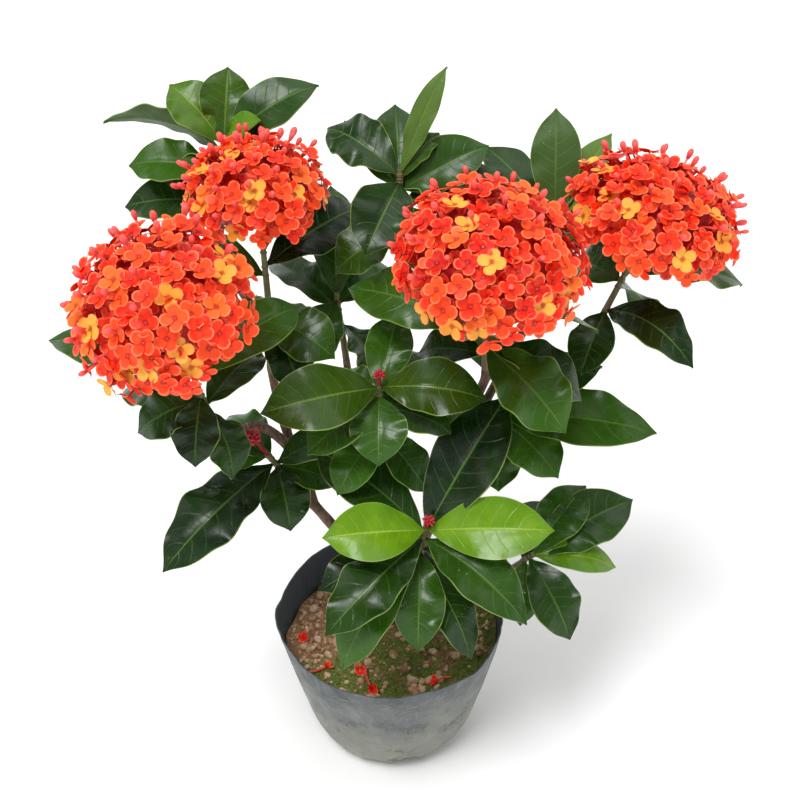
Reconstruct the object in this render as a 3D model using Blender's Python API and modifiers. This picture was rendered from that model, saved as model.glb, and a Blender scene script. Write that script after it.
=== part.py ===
"""Potted ixora: a soft grow bag of soil, branching woody stems, leafy shoots and flower heads.

The object stands on Z = 0 with the bag's axis on Z. The viewer's side is -Y.
Tables and dimensions are in millimetres, and angles in degrees.
"""

import math
import random

import bmesh
import bpy
from mathutils import Matrix, Vector, noise
from mathutils.bvhtree import BVHTree

MM = 0.001
GAP = 0.3  # clearance between neighbouring pieces

# Grow bag
BAG_HEIGHT = 104.0
BAG_FOOT_RADIUS = 57.0
BAG_MOUTH_RADIUS = 80.0
BAG_FOOT_TUCK = 9.0  # how far the bottom edge is drawn in
BAG_TUCK_HEIGHT = 8.0
BAG_FILM = 1.2
BAG_SIDES = 36
BAG_LEVELS = (4.0, 12.0, 26.0, 46.0, 66.0, 86.0)
BAG_FLOOR_RINGS = (16.0, 34.0)
BAG_CORNER_ANGLE = 180.0  # the fold where the flat bag was seamed
BAG_HIGH_ANGLE = 132.0
BAG_HIGH_LIFT = 9.0

# Soil
SOIL_LEVEL = 88.0
SOIL_SIDE_GAP = 0.7
SOIL_SLOPE = 7.0
SOIL_RELIEF = 2.2
SOIL_RINGS = (0.2, 0.38, 0.55, 0.71, 0.86)
SOIL_HOLE_RADIUS = 7.4
SOIL_HOLE_FLOOR = 60.0

# Woody stems
CROWN = (-4.0, 6.0)
CROWN_RADIUS = 6.4
LIMB_SIDES = 1  # bevel resolution of a limb: six sides
SHOOT_SIDES = 0  # four sides
SHOOT_ROOT_RADIUS = 2.4
SHOOT_TIP_RADIUS = 1.7

# Leaves
BLADE = 0.8
CLEAR_BLADE = 2.0  # thickness that a leaf keeps free of other pieces
LONG_LEAF = 60.0
LONG_STATIONS = 6
SHORT_STATIONS = 4
PETIOLE_HALF_WIDTH = 1.3
LEAF_TIP_GAP = 3.0  # the topmost leaves grow this far below a shoot's tip
LEAF_WAVES = 3.0
LEAF_FOLD = 0.16

# Flower heads
FLORET_RADIUS = 11.6
FLORET_NOTCH = 0.6  # radius between two petals, as a share
FLORET_DISH = 0.8
FLORET_RIM = 0.7
TUBE_RADIUS = 1.0
TUBE_SIDES = 3
BUD_RADIUS = 2.2
BUD_LENGTH = 8.0
CORE_SHARE = 0.62
GOLDEN_ANGLE = 137.508
HEAD_EDGE_ANGLE = 106.0
FLORET_LAYER = 0.05  # how far neighbouring florets stand above and below each other
BUD_SIDES = 4
HEAD_MARGIN = 4.5  # how far petals reach past the head's half sizes
HEAD_FOOT_SHARE = 0.65
OWN_CLEAR_SHARE = 0.3  # nearer their roots, leaves of one shoot may touch
FALLEN_RADIUS = 6.5
FALLEN_CLEAR = 0.4

# Name: (root of the green shoot, its tip, leaves).
# A leaf: (below the tip, heading, pitch, length, width, arch in % of length, roll, wave of the edge).
SHOOTS = {
    "shoot_front": ((17, -34, 186), (23, -45, 226), (
        (1, -165, 8, 68, 38, 10, -39, 0.8),
        (1, -9, 8, 82, 40, 8, 39, 0.8),
        (7, 138, 22, 91, 40, 12, -18, 1.5),
        (7, 43, 38, 103, 46, 8, 23, 1.5),
        (12, -139, -22, 89, 38, 10, -20, 3.2),
        (12, -38, -18, 86, 38, 12, 11, 1.8),
        (20, -158, -12, 73, 36, 10, -21, 2.0),
        (22, -134, -38, 95, 34, 15, -10, 2.0),
        (26, -92, -38, 66, 34, 14, 0, 2.0),
        (24, -18, -14, 74, 30, 10, 13, 1.5),
        (32, -55, -34, 76, 30, 12, 6, 1.5),
        (30, 145, 2, 62, 34, 10, -7, 1.5),
    )),
    "shoot_middle": ((-8, -3, 262), (-7, -10, 313), (
        (2, -157, 2, 77, 42, 14, -43, 1.2),
        (2, -10, 0, 68, 36, 16, 33, 1.2),
        (8, 75, 35, 56, 30, 6, 8, 1.2),
        (9, -90, -35, 46, 36, 14, -1, 1.2),
        (20, -17, -10, 49, 32, 12, 15, 1.5),
        (20, -146, -14, 55, 34, 12, -14, 1.5),
        (26, 58, 10, 66, 32, 10, 9, 1.5),
        (30, 131, 12, 51, 34, 10, -11, 1.5),
        (40, -127, -30, 50, 30, 10, -14, 1.5),
        (42, -36, -30, 50, 30, 10, 16, 1.5),
    )),
    "shoot_left": ((-75, 19, 222), (-82, 8, 244), (
        (14, -139, -24, 103, 44, 10, -20, 2.6),
        (4, 171, -2, 42, 26, 10, -31, 1.2),
        (2, 165, 40, 45, 22, 10, -28, 1.0),
        (18, -73, -40, 46, 34, 15, 2, 1.5),
        (16, 43, 20, 66, 34, 8, 20, 1.5),
        (8, 121, 28, 58, 28, 10, -6, 1.5),
        (20, -8, -14, 44, 28, 10, 20, 1.5),
    )),
    "shoot_right": ((62, 15, 264), (76, 6, 284), (
        (12, -8, -2, 103, 42, 8, 27, 2.0),
        (14, -45, -20, 58, 40, 10, 16, 2.0),
        (2, 27, 18, 69, 32, 12, 9, 1.5),
        (6, -175, -14, 46, 34, 10, -21, 1.5),
        (18, -84, -44, 48, 34, 10, 4, 1.5),
    )),
    "shoot_low_right": ((78, 2, 140), (99, -4, 166), (
        (6, 28, 12, 89, 40, 10, 23, 1.8),
        (2, 45, 28, 64, 34, 8, 16, 1.5),
        (3, 2, -8, 62, 26, 14, 22, 0.8),
        (6, -56, -38, 63, 36, 12, 12, 2.4),
        (10, -97, -36, 46, 26, 8, 0, 1.5),
        (12, 66, 20, 52, 34, 10, 4, 1.5),
    )),
    "shoot_head_left": ((-110, -20, 288), (-119, -34, 346), (
        (10, 161, 2, 98, 34, 10, -20, 1.8),
        (6, 154, 14, 90, 28, 8, -23, 1.5),
        (34, -168, -24, 46, 34, 14, -30, 1.8),
        (30, -100, -45, 44, 30, 10, 0, 1.5),
        (44, -60, -35, 46, 28, 14, -20, 1.5),
        (12, 43, 10, 84, 36, 12, 29, 1.5),
        (40, 61, 5, 62, 30, 10, 12, 1.5),
        (44, 150, -8, 70, 32, 12, -14, 1.5),
    )),
    "shoot_head_back_left": ((-78, 44, 322), (-80, 48, 384), (
        (20, 47, 6, 88, 38, 12, 30, 1.8),
        (10, 40, 14, 80, 36, 12, -29, 1.8),
        (44, 80, -60, 54, 38, 10, 0, 1.8),
        (50, -133, -34, 48, 34, 10, -17, 1.5),
        (56, -31, -16, 52, 36, 10, 23, 1.5),
        (60, -90, -36, 52, 30, 12, 4, 1.5),
        (26, 150, -5, 66, 34, 12, -35, 1.5),
    )),
    "shoot_high_left": ((-112, 90, 366), (-107, 106, 424), (
        (8, 167, 10, 82, 34, 12, 50, 1.2),
        (2, 148, 30, 52, 34, 10, -22, 1.2),
        (2, 85, 50, 50, 34, 6, 10, 1.2),
        (3, 10, 30, 72, 34, 10, 32, 1.5),
        (12, 45, 38, 54, 30, 10, 20, 1.5),
        (1, -20, 30, 34, 22, 8, 25, 0.8),
        (22, 176, 4, 62, 36, 10, -25, 1.8),
        (16, -172, -8, 48, 34, 14, 40, 1.5),
        (42, 175, -4, 66, 34, 10, -31, 2.2),
    )),
    "shoot_back": ((6, 64, 366), (6, 70, 420), (
        (4, 140, 14, 63, 34, 12, -25, 1.8),
        (14, 125, 30, 68, 30, 8, -10, 1.8),
        (1, 38, 60, 71, 25, 4, 27, 1.2),
        (6, 34, 40, 38, 18, 8, 15, 1.0),
        (14, 9, 34, 62, 34, 6, 38, 1.2),
        (24, 6, 18, 67, 26, 8, 19, 1.5),
        (8, -112, -22, 60, 40, 10, -18, 2.0),
        (12, -10, -8, 50, 36, 14, -38, 1.5),
        (22, -68, -38, 48, 36, 12, 5, 1.5),
        (20, 94, 45, 64, 34, 6, -1, 1.5),
        (40, -162, -25, 50, 34, 10, -17, 1.5),
        (46, -30, -28, 50, 32, 10, 15, 1.5),
    )),
    "shoot_head_centre": ((59, 0, 318), (57, -10, 360), (
        (10, 150, 1, 98, 36, 12, -33, 1.8),
        (24, -43, -26, 72, 44, 12, 21, 2.0),
        (22, -12, -22, 72, 34, 12, 16, 1.8),
        (14, 85, -58, 48, 34, 14, 0, 1.8),
        (30, 148, -18, 52, 32, 10, -24, 1.5),
        (8, 74, 36, 78, 34, 10, 2, 1.5),
        (12, 5, 0, 70, 34, 12, -29, 1.5),
    )),
    "shoot_head_right": ((133, 36, 328), (149, 38, 370), (
        (34, -46, -8, 70, 36, 20, 15, 1.8),
        (12, 117, -12, 52, 38, 12, -34, 1.5),
        (16, 40, -50, 50, 34, 14, 0, 1.5),
        (6, 7, 4, 80, 34, 10, 6, 1.5),
        (10, 62, 26, 84, 34, 10, 5, 1.5),
        (34, -118, -36, 46, 30, 8, -4, 1.5),
    )),
    "shoot_back_left": ((-30, 52, 290), (-36, 66, 334), (
        (6, -122, -34, 50, 34, 10, -12, 1.5),
        (8, 47, 2, 56, 34, 12, 15, 1.5),
        (6, 95, 38, 84, 34, 10, 0, 1.5),
        (12, 135, 8, 70, 32, 10, -8, 1.5),
        (22, -40, -40, 48, 34, 12, -14, 1.5),
    )),
    "shoot_back_right": ((96, 60, 336), (106, 76, 386), (
        (4, 90, 60, 71, 40, 6, -5, 1.2),
        (1, 57, 45, 46, 20, 6, 14, 0.8),
        (10, 126, 24, 78, 34, 10, -12, 1.5),
        (14, 150, 6, 72, 34, 10, -17, 1.5),
        (20, 96, 5, 74, 34, 10, -8, 1.5),
        (8, 18, 42, 74, 22, 4, 10, 0.8),
        (24, 20, 8, 60, 34, 10, 14, 1.5),
        (30, -120, -30, 50, 34, 10, -8, 1.5),
    )),
}

# Each woody limb: the shoot that it carries, its radius at the foot, and the points along it.
LIMBS = (
    ("shoot_left", 5.2, ((-6, 7, 92), (-12, 8, 116), (-30, 10, 160), (-54, 14, 196))),
    ("shoot_head_left", 4.0, ((-54, 14, 196), (-64, 27, 226), (-86, 22, 256), (-102, -4, 270))),
    ("shoot_head_back_left", 3.6, ((-54, 14, 196), (-70, 36, 236), (-79, 42, 286))),
    ("shoot_right", 5.0, ((-2, 6, 92), (8, 10, 120), (28, 14, 180), (46, 18, 236))),
    ("shoot_head_centre", 3.8, ((44, 17, 228), (54, 32, 262), (61, 18, 298))),
    ("shoot_head_right", 3.6, ((54, 20, 248), (86, 30, 274), (118, 34, 302))),
    ("shoot_back_right", 3.4, ((28, 14, 180), (52, 34, 238), (82, 50, 300))),
    ("shoot_front", 3.6, ((-4, 4, 92), (0, -6, 112), (9, -20, 150))),
    ("shoot_middle", 4.0, ((-4, 6, 92), (-6, 5, 140), (-9, 3, 210))),
    ("shoot_back", 4.2, ((-3, 8, 92), (0, 20, 140), (4, 42, 240), (6, 58, 320))),
    ("shoot_back_left", 3.4, ((-1, 20, 140), (-16, 36, 210), (-26, 46, 264))),
    ("shoot_high_left", 3.6, ((-9, 26, 172), (-60, 58, 270), (-100, 80, 326))),
    ("shoot_low_right", 3.4, ((-1, 5, 92), (10, 4, 104), (48, 3, 116))),
)

# Name: (shoot it crowns, centre, axis, half width, half height, florets, buds, seed).
HEADS = {
    "head_left": ("shoot_head_left", (-126, -48, 391), (-0.28, -0.42, 0.86), 49, 41, 33, 8, 1),
    "head_back_left": ("shoot_head_back_left", (-82, 48, 416), (0.0, -0.1, 1.0), 41, 28, 24, 9, 2),
    "head_centre": ("shoot_head_centre", (58, -15, 403), (0.06, -0.3, 0.95), 52, 37, 35, 8, 3),
    "head_right": ("shoot_head_right", (161, 40, 403), (0.24, -0.1, 0.97), 51, 30, 31, 9, 4),
}

# Name: (shoot it crowns, length of its stalk, half size, buds).
BUD_CLUSTERS = {
    "buds_front": ("shoot_front", 5.0, 3.6, 6),
    "buds_middle": ("shoot_middle", 5.0, 3.4, 6),
    "spent_bloom": ("shoot_left", 22.0, 5.0, 8),
}

# Fallen florets: (place on the soil, heading of the tube, length of the tube).
FALLEN = {
    "fallen_floret_1": (-46, -38, 200, 16),
    "fallen_floret_2": (-13, -62, 105, 20),
    "fallen_floret_3": (30, -57, 20, 12),
    "fallen_floret_4": (-64, -8, 80, 10),
    "fallen_floret_5": (-22, -44, 100, 18),
}

# Small turns tried in order when a leaf would cross another piece.
LEAF_TURNS = (0, 5, -5, 10, -10, 16, -16, 23, -23, 30, -30)
LEAF_PITCHES = (0, 4, -4, 8, -8, 13, -13, 19, -19, 26, -26)
LEAF_LENGTHS = (1.0, 0.88, 0.76)


def clear_scene():
    """Remove every object that the scene starts with."""
    for obj in list(bpy.data.objects):
        bpy.data.objects.remove(obj)


def principled(name, colour, roughness):
    """Material of one plain colour."""
    material = bpy.data.materials.new(name)
    material.use_nodes = True
    shader = material.node_tree.nodes["Principled BSDF"]
    shader.inputs["Base Color"].default_value = (*colour, 1.0)
    shader.inputs["Roughness"].default_value = roughness
    shader.inputs["Metallic"].default_value = 0.0
    material.diffuse_color = (*colour, 1.0)
    return material


def object_from(name, bm, collection):
    """Turn a bmesh, in millimetres, into an object in metres."""
    bmesh.ops.scale(bm, vec=(MM, MM, MM), verts=bm.verts)
    bmesh.ops.recalc_face_normals(bm, faces=bm.faces)
    mesh = bpy.data.meshes.new(name)
    bm.to_mesh(mesh)
    bm.free()
    obj = bpy.data.objects.new(name, mesh)
    collection.objects.link(obj)
    return obj


def bake(obj):
    """Apply the modifiers of an object to its mesh."""
    graph = bpy.context.evaluated_depsgraph_get()
    mesh = bpy.data.meshes.new_from_object(obj.evaluated_get(graph))
    obj.modifiers.clear()
    obj.data = mesh
    return obj


def fuse(obj, repeats, operation="UNION", solver="EXACT"):
    """Join a collection of closed meshes to an object, or cut them from it, and remove them."""
    boolean = obj.modifiers.new("Fuse", "BOOLEAN")
    boolean.operation = operation
    boolean.solver = solver
    boolean.operand_type = "COLLECTION"
    boolean.collection = repeats
    bake(obj)
    for piece in list(repeats.objects):
        bpy.data.objects.remove(piece)
    return obj


def finish(obj, material, collection):
    """Give a piece its material and move it to the collection of the finished object."""
    obj.data.materials.clear()
    obj.data.materials.append(material)
    for holder in list(obj.users_collection):
        holder.objects.unlink(obj)
    collection.objects.link(obj)


def polar(radius, angle):
    """Point in the plane at a distance and an angle in degrees."""
    turn = math.radians(angle)
    return radius * math.cos(turn), radius * math.sin(turn)


def angle_gap(first, second):
    """Difference of two angles in degrees, from -180 to 180."""
    return (first - second + 180.0) % 360.0 - 180.0


def wall_radius(height):
    """Outer radius of the plain bag at a height."""
    flare = (BAG_MOUTH_RADIUS - BAG_FOOT_RADIUS) * (max(height, 0.0) / BAG_HEIGHT) ** 0.92
    return BAG_FOOT_RADIUS + flare - BAG_FOOT_TUCK * math.exp(-max(height, 0.0) / BAG_TUCK_HEIGHT)


def soften(point):
    """Move a point of the plain bag to the soft bag, with its dents, corner fold and uneven mouth."""
    radius = math.hypot(point.x, point.y)
    if radius < 1.0:
        return point.copy()
    angle = math.degrees(math.atan2(point.y, point.x))
    rise = min(max(point.z / BAG_HEIGHT, 0.0), 1.1)
    turn = math.radians(angle)
    dents = 1.1 * math.sin(2.0 * turn + 0.5) + 0.8 * math.sin(5.0 * turn + 2.0 + 2.5 * rise)
    dents += 0.5 * math.sin(9.0 * turn - 4.0 * rise)
    fold = 3.2 * math.exp(-(angle_gap(angle, BAG_CORNER_ANGLE) / 11.0) ** 2)
    share = radius / wall_radius(point.z)
    radius += share * rise * (dents + fold * rise)
    lift = BAG_HIGH_LIFT * math.exp(-(angle_gap(angle, BAG_HIGH_ANGLE) / 42.0) ** 2)
    lift += 1.1 * math.sin(3.0 * turn + 1.0) + 0.6 * math.sin(8.0 * turn)
    lift *= rise ** 6
    x, y = polar(radius, angle)
    return Vector((x, y, point.z + lift * min(share, 1.0) ** 4))


def spin_profile(profile, sides):
    """Turn a list of (radius, height) points about the Z axis."""
    bm = bmesh.new()
    row = [bm.verts.new((radius, 0.0, height)) for radius, height in profile]
    edges = [bm.edges.new(pair) for pair in zip(row, row[1:])]
    bmesh.ops.spin(
        bm, geom=row + edges, cent=(0.0, 0.0, 0.0), axis=(0.0, 0.0, 1.0),
        angle=math.tau, steps=sides, use_merge=True,
    )
    bmesh.ops.remove_doubles(bm, verts=bm.verts, dist=0.001)
    return bm


def build_bag(material, work, collection):
    """The soft bag: one thin wall with a closed bottom."""
    outer = [(0.0, 0.0)]
    outer += [(radius, 0.0) for radius in BAG_FLOOR_RINGS]
    outer += [(wall_radius(0.0), 0.0)]
    outer += [(wall_radius(height), height) for height in BAG_LEVELS]
    outer += [(wall_radius(BAG_HEIGHT), BAG_HEIGHT)]
    inner = [(wall_radius(BAG_HEIGHT) - BAG_FILM, BAG_HEIGHT)]
    inner += [(wall_radius(height) - BAG_FILM, height) for height in reversed(BAG_LEVELS)]
    inner += [(wall_radius(BAG_FILM) - 2.0 * BAG_FILM, BAG_FILM)]
    inner += [(radius, BAG_FILM) for radius in reversed(BAG_FLOOR_RINGS)]
    inner += [(0.0, BAG_FILM)]
    bm = spin_profile(outer + inner, BAG_SIDES)
    for vert in bm.verts:
        vert.co = soften(vert.co)
    finish(object_from("grow_bag", bm, work), material, collection)


def soil_height(x, y):
    """Height of the soil at a place, with its slope and crumbs."""
    slope = SOIL_SLOPE * (x - y) * math.sqrt(0.5) / BAG_MOUTH_RADIUS
    crumbs = noise.noise(Vector((0.055 * x, 0.055 * y, 3.0)))
    crumbs += 0.5 * noise.noise(Vector((0.13 * x, 0.13 * y, 7.0)))
    return SOIL_LEVEL + slope + SOIL_RELIEF * crumbs


def build_soil(material, work, collection):
    """The soil, with a plain hole for the root crown."""
    inset = BAG_FILM + SOIL_SIDE_GAP
    floor = BAG_FILM + GAP
    foot = wall_radius(BAG_FILM) - 2.0 * BAG_FILM - 1.0
    levels = [height for height in BAG_LEVELS if height < SOIL_LEVEL - SOIL_SLOPE - 3.0]
    profile = [(0.0, floor), (BAG_FLOOR_RINGS[0], floor), (BAG_FLOOR_RINGS[1], floor), (foot, floor)]
    profile += [(wall_radius(height) - inset, height) for height in levels]
    rim = wall_radius(SOIL_LEVEL) - inset
    profile += [(rim, SOIL_LEVEL)]
    profile += [(rim * share, SOIL_LEVEL) for share in reversed(SOIL_RINGS)]
    profile += [(0.0, SOIL_LEVEL)]
    bm = spin_profile(profile, BAG_SIDES)
    for vert in bm.verts:
        on_top = vert.co.z > SOIL_LEVEL - 0.5
        if on_top:
            share = math.hypot(vert.co.x, vert.co.y) / rim
            height = soil_height(vert.co.x, vert.co.y)
            edge = wall_radius(height) - inset
            angle = math.degrees(math.atan2(vert.co.y, vert.co.x))
            vert.co.x, vert.co.y = polar(edge * share, angle)
            vert.co.z = height
        vert.co = soften(vert.co)
    soil = object_from("soil", bm, work)
    cutters = bpy.data.collections.new("cutters")
    cutters.hide_render = True
    bpy.context.scene.collection.children.link(cutters)
    bm = bmesh.new()
    depth = 2.0 * (SOIL_LEVEL - SOIL_HOLE_FLOOR)
    bmesh.ops.create_cone(
        bm, cap_ends=True, segments=16, radius1=SOIL_HOLE_RADIUS, radius2=SOIL_HOLE_RADIUS, depth=depth,
        matrix=Matrix.Translation((*CROWN, SOIL_HOLE_FLOOR + 0.5 * depth)),
    )
    cutter = object_from("crown_hole", bm, cutters)
    cutter.display_type = "WIRE"
    cutter.hide_render = True
    fuse(soil, cutters, operation="DIFFERENCE")
    bpy.data.collections.remove(cutters)
    finish(soil, material, collection)


def tube(name, points, radii, sides, collection):
    """Round limb through a list of points, with a radius at each."""
    curve = bpy.data.curves.new(name, "CURVE")
    curve.dimensions = "3D"
    curve.bevel_depth = MM
    curve.bevel_resolution = sides
    curve.use_fill_caps = True
    spline = curve.splines.new("POLY")
    spline.points.add(len(points) - 1)
    for knot, point, radius in zip(spline.points, points, radii):
        knot.co = (*(Vector(point) * MM), 1.0)
        knot.radius = radius
    obj = bpy.data.objects.new(name, curve)
    collection.objects.link(obj)
    graph = bpy.context.evaluated_depsgraph_get()
    mesh = bpy.data.meshes.new_from_object(obj.evaluated_get(graph))
    bpy.data.objects.remove(obj)
    bm = bmesh.new()
    bm.from_mesh(mesh)
    bmesh.ops.remove_doubles(bm, verts=bm.verts, dist=0.01 * MM)
    bmesh.ops.recalc_face_normals(bm, faces=bm.faces)
    bm.to_mesh(mesh)
    bm.free()
    solid = bpy.data.objects.new(name, mesh)
    collection.objects.link(solid)
    return solid


def limb_points(shoot, points):
    """Points of a limb, with its end in line with the shoot that it carries."""
    root, tip = (Vector(place) for place in SHOOTS[shoot][:2])
    along = (tip - root).normalized()
    return [Vector(point) for point in points] + [root - 9.0 * along, root - GAP * along]


def build_limbs(work):
    """The separate limbs and the root crown, before they are fused."""
    crown_points = [(*CROWN, SOIL_HOLE_FLOOR + GAP), (*CROWN, SOIL_LEVEL), (-4, 6, 100), (-4, 7, 106)]
    pieces = [tube("woody_stems", crown_points, (CROWN_RADIUS, CROWN_RADIUS, 5.6, 3.0), LIMB_SIDES, work)]
    for shoot, girth, points in LIMBS:
        path = limb_points(shoot, points)
        steps = len(path) - 1
        radii = [girth + (SHOOT_ROOT_RADIUS - girth) * step / steps for step in range(steps + 1)]
        pieces.append(tube("limb_" + shoot, path, radii, LIMB_SIDES, work))
    return pieces


def leaf_frame(heading, pitch, roll):
    """Columns along a leaf, across it and out of its upper face."""
    level = math.cos(math.radians(pitch))
    x, y = polar(level, heading)
    along = Vector((x, y, math.sin(math.radians(pitch))))
    up = Vector((0.0, 0.0, 1.0)) - along * along.z
    face = Matrix.Rotation(math.radians(roll), 3, along) @ up.normalized()
    across = face.cross(along)
    return Matrix((along, across, face)).transposed()


def half_width(share, width):
    """Half the width of a leaf at a share of its length."""
    if not 0.001 < share < 0.999:
        return 0.0
    blade = 0.5 * width * math.sin(math.pi * share ** 1.12) ** 0.95
    return max(blade, PETIOLE_HALF_WIDTH)


def leaf_surface(leaf, root, turn, stretch):
    """Middle surface of one leaf in place, split into triangles."""
    heading, pitch, length, width, arch, roll, wave = leaf[1:]
    frame = leaf_frame(heading + turn[0], pitch + turn[1], roll)
    length *= stretch
    stations = LONG_STATIONS if length >= LONG_LEAF else SHORT_STATIONS
    bm = bmesh.new()
    bmesh.ops.create_grid(bm, x_segments=stations, y_segments=2, size=0.5)
    share_of = bm.verts.layers.float.new("share")
    phase = math.radians(37.0 * heading)
    for vert in bm.verts:
        share = vert.co.x + 0.5
        vert[share_of] = share
        side = 2.0 * vert.co.y
        half = half_width(share, width)
        rise = 0.04 * arch * share * (1.0 - share) * length
        swell = math.sin(math.pi * share)
        ripple = wave * side * side * swell * math.sin(math.tau * LEAF_WAVES * share + phase + 1.3 * side)
        fold = LEAF_FOLD * abs(side) * half * swell
        vert.co = root + frame @ Vector((length * share, side * half, rise + ripple + fold))
    bmesh.ops.remove_doubles(bm, verts=bm.verts, dist=0.01)
    bmesh.ops.triangulate(bm, faces=bm.faces)
    return bm


def sheets(bm, thickness, from_share):
    """Faces of a leaf surface and of two copies on either side of it, as plain points and triangles."""
    bmesh.ops.recalc_face_normals(bm, faces=bm.faces)
    bm.verts.index_update()
    points = []
    faces = []
    share_of = bm.verts.layers.float["share"]
    kept = [face for face in bm.faces if all(vert[share_of] >= from_share for vert in face.verts)]
    for side in (-0.5, 0.0, 0.5):
        start = len(points)
        points += [vert.co + vert.normal * side * thickness for vert in bm.verts]
        faces += [[start + vert.index for vert in face.verts] for face in kept]
    return points, faces


def object_faces(obj):
    """Points, in millimetres, and faces of an object."""
    points = [vert.co / MM for vert in obj.data.vertices]
    return points, [list(face.vertices) for face in obj.data.polygons]


def tree_of(parts):
    """Search tree over a list of (points, faces), or None where it is empty."""
    points = []
    faces = []
    for some_points, some_faces in parts:
        start = len(points)
        points += some_points
        faces += [[start + index for index in face] for face in some_faces]
    return BVHTree.FromPolygons(points, faces) if faces else None


def crosses(first, second):
    """Whether two search trees touch."""
    return bool(first and second and first.overlap(second))


def settled_leaf(leaf, root, others, own):
    """Surface of a leaf turned just clear of the other pieces and of its own shoot, or None."""
    turns = [(turn, pitch) for turn in LEAF_TURNS for pitch in LEAF_PITCHES]
    turns.sort(key=lambda pair: abs(pair[0]) + 1.2 * abs(pair[1]))
    for stretch in LEAF_LENGTHS:
        for turn in turns:
            bm = leaf_surface(leaf, root, turn, stretch)
            whole = tree_of([sheets(bm, CLEAR_BLADE, 0.0)])
            outer = tree_of([sheets(bm, CLEAR_BLADE, OWN_CLEAR_SHARE)])
            if not crosses(whole, others) and not crosses(outer, own):
                return bm
            bm.free()
    return None


def axis_frame(axis):
    """Columns of a frame whose third column is the axis."""
    up = Vector(axis).normalized()
    side = up.cross(Vector((0.0, 1.0, 0.0))).normalized()
    return Matrix((side, up.cross(side), up)).transposed()


def ellipsoid(name, centre, axis, half_sizes, lowest, subdivisions, work):
    """Closed ellipsoid about an axis, with nothing below a share of its half height."""
    bm = bmesh.new()
    bmesh.ops.create_icosphere(bm, subdivisions=subdivisions, radius=1.0)
    frame = axis_frame(axis)
    wide, tall = half_sizes
    for vert in bm.verts:
        x, y, z = vert.co
        vert.co = Vector(centre) + frame @ Vector((wide * x, wide * y, tall * max(z, lowest)))
    return object_from(name, bm, work)


def drop_shape(name, root, tip, profile, sides, work):
    """Slender closed shape from root to tip: (share of the length, radius) at each ring."""
    along = Vector(tip) - Vector(root)
    bm = spin_profile([(radius, share * along.length) for share, radius in profile], sides)
    place = Matrix.Translation(Vector(root)) @ axis_frame(along).to_4x4()
    bmesh.ops.transform(bm, matrix=place, verts=bm.verts)
    return object_from(name, bm, work)


def bud(name, root, tip, radius, work):
    """Closed bud on its thin tube."""
    length = (Vector(tip) - Vector(root)).length
    swell = min(BUD_LENGTH / length, 0.8)
    profile = (
        (0.0, 0.0), (0.0, TUBE_RADIUS), (1.0 - swell, TUBE_RADIUS),
        (1.0 - 0.45 * swell, radius), (1.0, 0.0),
    )
    return drop_shape(name, root, tip, profile, BUD_SIDES, work)


def floret(name, centre, face, spin, radius, root, work):
    """Four-petalled floret facing out on a slender tube that reaches back to its root."""
    frame = axis_frame(face)
    centre = Vector(centre)
    up = frame.col[2]
    back = centre - up * (FLORET_RIM + 1.2)
    bm = bmesh.new()
    throat = bm.verts.new(centre - up * 0.4)
    rim = []
    neck = []
    foot = []
    for petal in range(4):
        for offset, share in ((-45.0, FLORET_NOTCH), (-21.0, 1.0), (21.0, 1.0)):
            x, y = polar(radius * share, 90.0 * petal + offset + spin)
            rim.append(bm.verts.new(centre + frame @ Vector((x, y, FLORET_DISH * share))))
    for side in range(TUBE_SIDES):
        x, y = polar(TUBE_RADIUS, 360.0 * (side + 0.5) / TUBE_SIDES + spin - 45.0)
        ring = frame @ Vector((x, y, 0.0))
        neck.append(bm.verts.new(back + ring))
        foot.append(bm.verts.new(Vector(root) + ring))
    span = len(rim) // TUBE_SIDES
    for index, vert in enumerate(rim):
        following = rim[(index + 1) % len(rim)]
        side = index // span
        bm.faces.new((throat, vert, following))
        bm.faces.new((neck[side], following, vert))
        if index % span == span - 1:
            beside = (side + 1) % TUBE_SIDES
            bm.faces.new((neck[side], neck[beside], following))
            bm.faces.new((neck[beside], neck[side], foot[side], foot[beside]))
    bm.faces.new(foot)
    return object_from(name, bm, work)


def shoot_line(shoot):
    """Root, tip and direction of a green shoot."""
    root, tip = (Vector(place) for place in SHOOTS[shoot][:2])
    return root, tip, (tip - root).normalized()


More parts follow.
